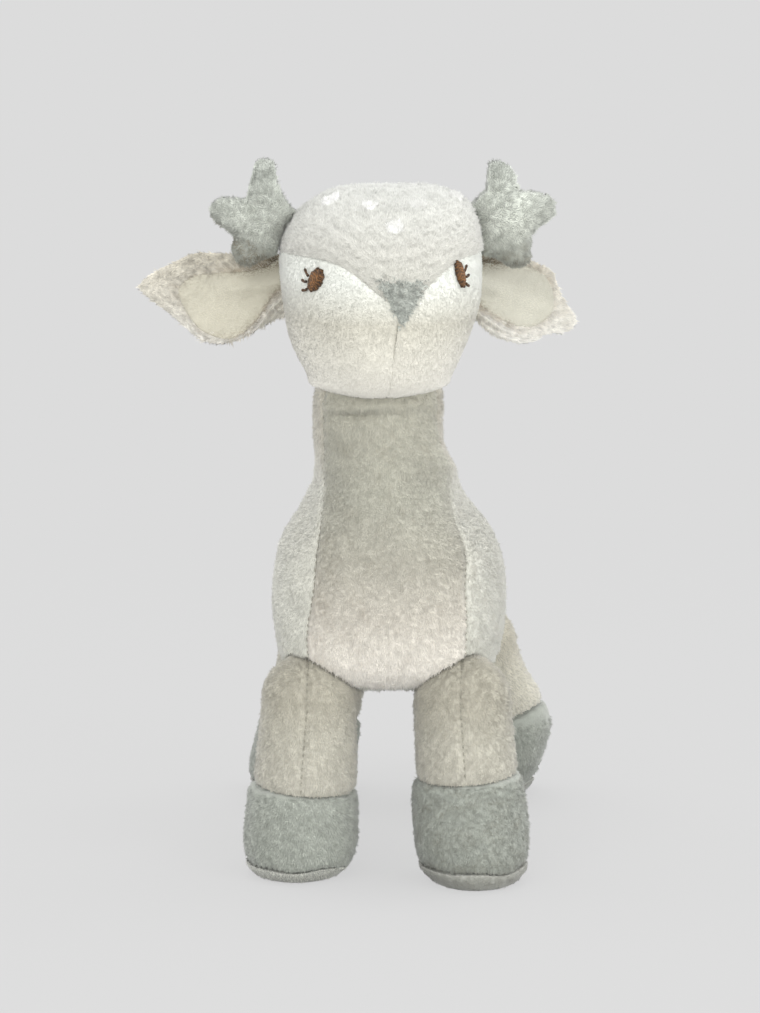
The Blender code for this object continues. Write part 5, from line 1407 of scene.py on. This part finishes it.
def add_antler(side, sign, corners, rise, stem, table, move, skins, seed):
    """One antler: two faces of plush that swell from the seam round their edge like a quarter circle
    of the distance to it, up to the arm's half width."""
    seat, up, out = seat_on_head(table, sign * ANTLER_TURN, HEAD_BOTTOM + rise, ANTLER_BASE_SPAN)
    out, face = swing(out, up, 0.0)
    lean = math.atan2(out[2], math.hypot(out[0], out[1]))
    outline = antler_outline(corners, lean, stem)
    share = np.linspace(0.0, 1.0, 34)[:, None] ** 0.8
    flat = share[..., None] * (outline * (1 - 0.0006 / np.linalg.norm(outline, axis=1, keepdims=True)))
    edge = np.linalg.norm(flat[:, :, None] - outline[None, None, ::2], axis=-1).min(axis=-1)
    edge = np.where(share > 0.999, 0.0, edge)
    reach = np.minimum(edge / ANTLER_SWELL_REACH, 1.0)
    base = seat + (flat[..., :1] + stem) * out + flat[..., 1:] * up
    lumps = 1 + 0.12 * ripple(base, 0.012, seed)[..., 0]
    swell = (ANTLER_HALF_THICKNESS - 0.0010) * np.sqrt(1 - (1 - reach) ** 2) * lumps
    front, back = base + (swell + 0.0002)[..., None] * face, base - (swell + 0.0002)[..., None] * face
    shade = antler_shade(side, base, flat, edge, seed)
    hair = []
    for grid, facing, number in ((front, face, 0), (back, -face, 1)):
        rough = unit(facing + 0.9 * unit(base - (seat + stem * out) + 1e-6) * (share[..., None] ** 3))
        normals = grid_normals(grid, np.broadcast_to(facing, grid.shape), True)
        normals = np.where(share[..., None] > 0.93, rough, normals)
        nap = unit(base - (seat + 0.4 * stem * out) + 1e-6)
        cover = ease((edge + 0.001 * (1 - number)) / 0.001)
        hair.append(pile(grid, normals, nap, seed + number, wrap=True, clump=0.7, lean=0.8, cover=cover,
                         round_=0.8, length=0.95 * PILE_LENGTH, density=1.25 * PILE_DENSITY, shade=shade))
    piece = make_piece(f"plush_antler_{side}", [shell(move(front), move(back), wrap=True,
                                                      first_pole=True)],
                       [moved(part, move) for part in hair], skins["antler"])
    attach(piece, f"antler_{side}")
    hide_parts(*(f"antler_{side}_{part}" for part in ("front", "back", "filling")))


def add_tail(body, move, skins):
    """The tail: a flat leaf of plush that hangs off the rump from its root."""
    ring = float(np.interp(BACK_HEIGHT - TAIL_DROP, [row[4] for row in body], range(len(body))))
    normal = form_normal(body, math.pi, ring)
    seat = form_point(body, math.pi, ring) + TAIL_ROOT_RADIUS * normal
    down = np.array([0.0, normal[2], -normal[1]])
    way = math.cos(TAIL_LIFT) * down + math.sin(TAIL_LIFT) * normal
    flat = math.cos(TAIL_LIFT) * normal - math.sin(TAIL_LIFT) * down
    across = np.array([1.0, 0.0, 0.0])
    around = np.linspace(0.0, 2 * math.pi, 61)[None, :-1, None]
    sections = [(-TAIL_ROOT_RADIUS, 0.0, 0.0), (-0.5 * TAIL_ROOT_RADIUS, TAIL_ROOT_RADIUS * 0.8,
                                                 TAIL_ROOT_RADIUS * 0.8)]
    for share in TAIL_RING_SHARES:
        root_left = TAIL_ROOT_RADIUS * (1 - share)
        swell = math.sin(math.pi * share ** 0.8) ** 0.6
        sections.append((share * TAIL_LENGTH, between(root_left, TAIL_HALF_WIDTH, swell),
                         between(root_left, TAIL_HALF_THICKNESS, swell)))
    sections.append((TAIL_LENGTH, 0.0, 0.0))
    along, width, depth = rows_at(sections, np.linspace(0.0, len(sections) - 1.0, 46)).T[..., None,
                                                                                         None]
    offset = (np.maximum(width, 0.0) * np.cos(around) * across
              + np.maximum(depth, 0.0) * np.sin(around) * flat)
    outer = seat + along * way + offset * 0.9
    rough = unit(np.cos(around) * across / TAIL_HALF_WIDTH + np.sin(around) * flat / TAIL_HALF_THICKNESS
                 + 0 * along)
    normals = grid_normals(outer, rough, True)
    hair = pile(outer, normals, np.broadcast_to(way, outer.shape), SEED + 95, wrap=True,
                length=1.4 * PILE_LENGTH, clump=0.9)
    piece = make_piece("plush_tail", [shell(move(outer), wrap=True, first_pole=True, last_pole=True)],
                       [moved(hair, move)], skins["side"])
    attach(piece, "tail")
    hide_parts("tail")


def make_skins():
    """The materials, by the pieces that wear them."""
    return {
        # Chest colour by height: lightest at the bottom, painted light where the chest turns under, and
        # darker up the neck, painted shade under the head
        "chest": plush("plush chest", ((0.0, linear(254, 250, 242)), (0.12, linear(248, 243, 232)),
                                       (0.28, linear(217, 212, 200)), (0.45, linear(195, 192, 179)),
                                       (0.65, linear(195, 194, 180)), (1.0, linear(193, 191, 176))),
                       BELLY_HEIGHT, NECK_TOP_HEIGHT, mottle=0.12),
        # Side colour by height: darker up the neck, painted shade under the head
        "side": plush("plush side", ((0.0, linear(222, 222, 211)), (0.65, linear(218, 217, 206)),
                                     (0.82, linear(204, 200, 187)), (1.0, linear(196, 192, 178))),
                      BELLY_HEIGHT, NECK_TOP_HEIGHT),
        # Leg colour by height: darker at the top, painted shade under the body
        "leg": plush("plush leg", ((0.0, linear(203, 200, 187)), (0.6, linear(201, 198, 184)),
                                   (1.0, linear(188, 184, 169))), SHORT_HOOF_HEIGHT, BELLY_HEIGHT,
                                   mottle=0.09),
        "hoof": plush("plush hoof", one_colour(168, 172, 163), mottle=0.15),
        "sole": plush("plush sole", one_colour(172, 173, 165)),
        # Cheek colour by height: a darker band above the muzzle, painted shade, and lightest at the chin,
        # partly the cream colour and partly painted light
        "cheek": plush("plush cheek", ((0.0, linear(253, 250, 239)), (0.20, linear(244, 241, 228)),
                                       (0.38, linear(215, 212, 198)), (0.58, linear(244, 246, 238))),
                       HEAD_BOTTOM, HEAD_TOP, mottle=0.02, root=0.94),
        # Crown colour by height: greyer low towards the nose and lighter at the top, the lighter top
        # painted light from above
        "crown": plush("plush crown", ((0.0, linear(208, 207, 197)), (0.45, linear(217, 216, 208)),
                                       (1.0, linear(226, 227, 221))),
                       HEAD_BOTTOM + NOSE_RISE, HEAD_TOP, mottle=0.09),
        "white": plush("plush white", one_colour(252, 252, 249), mottle=0.04, root=0.95),
        "pale": plush("plush pale", one_colour(241, 241, 237), mottle=0.06, root=0.92),
        "faint": plush("plush faint", one_colour(236, 236, 231), mottle=0.06, root=0.92),
        "nose": plush("plush nose", one_colour(194, 198, 190), mottle=0.28, root=0.75),
        # Antler colour by height: darker low down, painted shade from the light above
        "antler": plush("plush antler", ((0.0, linear(168, 171, 161)), (0.45, linear(194, 197, 188)),
                                         (1.0, linear(188, 192, 184))),
                        ANTLER_LOW, ANTLER_HIGH, mottle=0.13, root=0.78),
        "ear_rim": plush("plush ear", ((0.0, linear(240, 238, 230)), (0.4, linear(230, 226, 214)),
                                       (1.0, linear(219, 213, 197))),
                         EAR_LOW, EAR_HIGH, mottle=0.18),
        "lining_left": plush("plush lining left", one_colour(207, 203, 186), mottle=0.03, root=0.94),
        "lining_right": plush("plush lining right", one_colour(203, 201, 187), mottle=0.03, root=0.94),
        "thread": plush("seam thread", one_colour(158, 155, 142), mottle=0.1, root=1.0),
        "eye": thread("eye thread", (74, 47, 18), (128, 87, 45), 6.0),
    }


def add_stage():
    """The pale floor, the backdrop's colour and the soft lights."""
    pale = linear(220, 220, 220)
    mesh = bpy.data.meshes.new("floor")
    reach = 60.0
    mesh.from_pydata([(-reach, -reach, 0), (reach, -reach, 0), (reach, reach, 0), (-reach, reach, 0)],
                     [],
                     [(0, 1, 2, 3)])
    floor = bpy.data.objects.new("floor", mesh)
    bpy.context.scene.collection.objects.link(floor)
    material = bpy.data.materials.new("floor pale")
    material.use_nodes = True
    tree = material.node_tree
    shader = tree.nodes["Principled BSDF"]
    shader.inputs["Base Color"].default_value = (*linear(194, 194, 194), 1.0)
    shader.inputs["Roughness"].default_value = 1.0
    shader.inputs["Specular IOR Level"].default_value = 0.0
    glow = node(material, "ShaderNodeEmission", (0, -300), Color=(*pale, 1.0), Strength=1.0)
    path = node(material, "ShaderNodeLightPath", (0, 300))
    place = node(material, "ShaderNodeTexCoord", (-600, 500))
    away = node(material, "ShaderNodeVectorMath", (-400, 500))
    away.operation = "LENGTH"
    tree.links.new(place.outputs["Object"], away.inputs[0])
    glowing = node(material, "ShaderNodeMapRange", (-200, 500), Value=away.outputs["Value"],
                   From_Min=0.12, From_Max=0.9, To_Min=0.80, To_Max=1.0)
    share = node(material, "ShaderNodeMath", (200, 300))
    share.operation = "MULTIPLY"
    tree.links.new(glowing.outputs["Result"], share.inputs[0])
    tree.links.new(path.outputs["Is Camera Ray"], share.inputs[1])
    blend = node(material, "ShaderNodeMixShader", (400, 0), Fac=share.outputs[0])
    tree.links.new(shader.outputs[0], blend.inputs[1])
    tree.links.new(glow.outputs[0], blend.inputs[2])
    tree.links.new(blend.outputs[0], tree.nodes["Material Output"].inputs["Surface"])
    mesh.materials.append(material)

    world = bpy.data.worlds.new("studio")
    bpy.context.scene.world = world
    world.use_nodes = True
    nodes, links = world.node_tree.nodes, world.node_tree.links
    light = nodes["Background"]
    light.inputs["Color"].default_value = (1.0, 1.0, 1.0, 1.0)
    light.inputs["Strength"].default_value = 0.88
    seen = nodes.new("ShaderNodeBackground")
    seen.inputs["Color"].default_value = (*pale, 1.0)
    seen.inputs["Strength"].default_value = 1.0
    path = nodes.new("ShaderNodeLightPath")
    choose = nodes.new("ShaderNodeMixShader")
    links.new(path.outputs["Is Camera Ray"], choose.inputs[0])
    links.new(light.outputs[0], choose.inputs[1])
    links.new(seen.outputs[0], choose.inputs[2])
    links.new(choose.outputs[0], nodes["World Output"].inputs["Surface"])

    for name, place, size, power in (("key", (-0.5, -1.5, 1.2), 1.2, 9.0),
                                     ("fill", (1.2, -1.2, 0.6), 1.2, 11.0),
                                     ("front", (0.1, -1.9, 0.12), 1.2, 11.5),
                                     ("top", (0.1, 0.2, 1.7), 1.2, 6.5),
                                     ("rim left", (-1.3, 0.5, 0.7), 1.0, 5.0),
                                     ("rim right", (1.3, 0.6, 0.7), 1.0, 6.0)):
        lamp = bpy.data.lights.new(name, "AREA")
        lamp.size = size
        lamp.energy = power
        holder = bpy.data.objects.new(name, lamp)
        holder.location = place
        way = np.array((0.0, 0.0, 0.15)) - np.array(place)
        holder.rotation_euler = (math.atan2(math.hypot(way[0], way[1]), -way[2]), 0.0,
                                 math.atan2(way[1], way[0]) - math.pi / 2)
        bpy.context.scene.collection.objects.link(holder)


def add_camera(origin):
    """The camera, at the photograph's place and lens, from its distance and height off the deer."""
    place = origin + np.array((0.0838, -1.5177, 0.404))
    aim = origin + np.array((0.0, 0.030, 0.150))
    camera = bpy.data.cameras.new("camera")
    camera.sensor_width = 36.0
    camera.lens = 131.3
    camera.shift_x = -0.0079
    camera.shift_y = 0.0025
    holder = bpy.data.objects.new("camera", camera)
    way = aim - place
    holder.location = place
    holder.rotation_euler = (math.atan2(math.hypot(way[0], way[1]), -way[2]), 0.0,
                             math.atan2(way[1], way[0]) - math.pi / 2)
    bpy.context.scene.collection.objects.link(holder)
    bpy.context.scene.camera = holder


def main():
    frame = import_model()
    bpy.context.scene.view_settings.view_transform = "Standard"
    neck = next(joint for joint in frame["joints"] if joint["name"] == "head_turn")
    origin = np.array(neck["pos_m"]) - (NECK_LEAN, 0.0, NECK_TOP_HEIGHT)
    turn = np.array([[math.cos(HEAD_YAW), -math.sin(HEAD_YAW), 0.0],
                     [math.sin(HEAD_YAW), math.cos(HEAD_YAW), 0.0], [0.0, 0.0, 1.0]])

    def place_body(points):
        return points + origin

    def place_head(points):
        return points @ turn.T + origin + (NECK_LEAN, 0.0, 0.0)

    skins = make_skins()
    add_body(place_body, skins)
    body = body_table()
    for number, (name, hip, foot, hoof, sole) in enumerate(hip_places()):
        add_leg(name, hip, foot, hoof, sole, body, place_body, skins, SEED + 100 + 10 * number)
    add_tail(body, place_body, skins)
    add_head(place_head, skins)
    table = head_table()
    add_ear("left", -1.0, LEFT_EAR_SWING, LEFT_EAR_LENGTH, LEFT_EAR_LIFT, LEFT_EAR_EDGES,
            LEFT_LINING_EDGES, table, place_head, skins, SEED + 200)
    add_ear("right", 1.0, RIGHT_EAR_SWING, RIGHT_EAR_LENGTH, RIGHT_EAR_LIFT, RIGHT_EAR_EDGES,
            RIGHT_LINING_EDGES, table, place_head, skins, SEED + 210)
    add_antler("left", -1.0, LEFT_ANTLER_CORNERS, LEFT_ANTLER_RISE, LEFT_ANTLER_STEM, table, place_head,
               skins, SEED + 220)
    add_antler("right", 1.0, RIGHT_ANTLER_CORNERS, RIGHT_ANTLER_RISE, RIGHT_ANTLER_STEM, table,
               place_head,
               skins, SEED + 230)
    add_stage()
    add_camera(origin)


main()
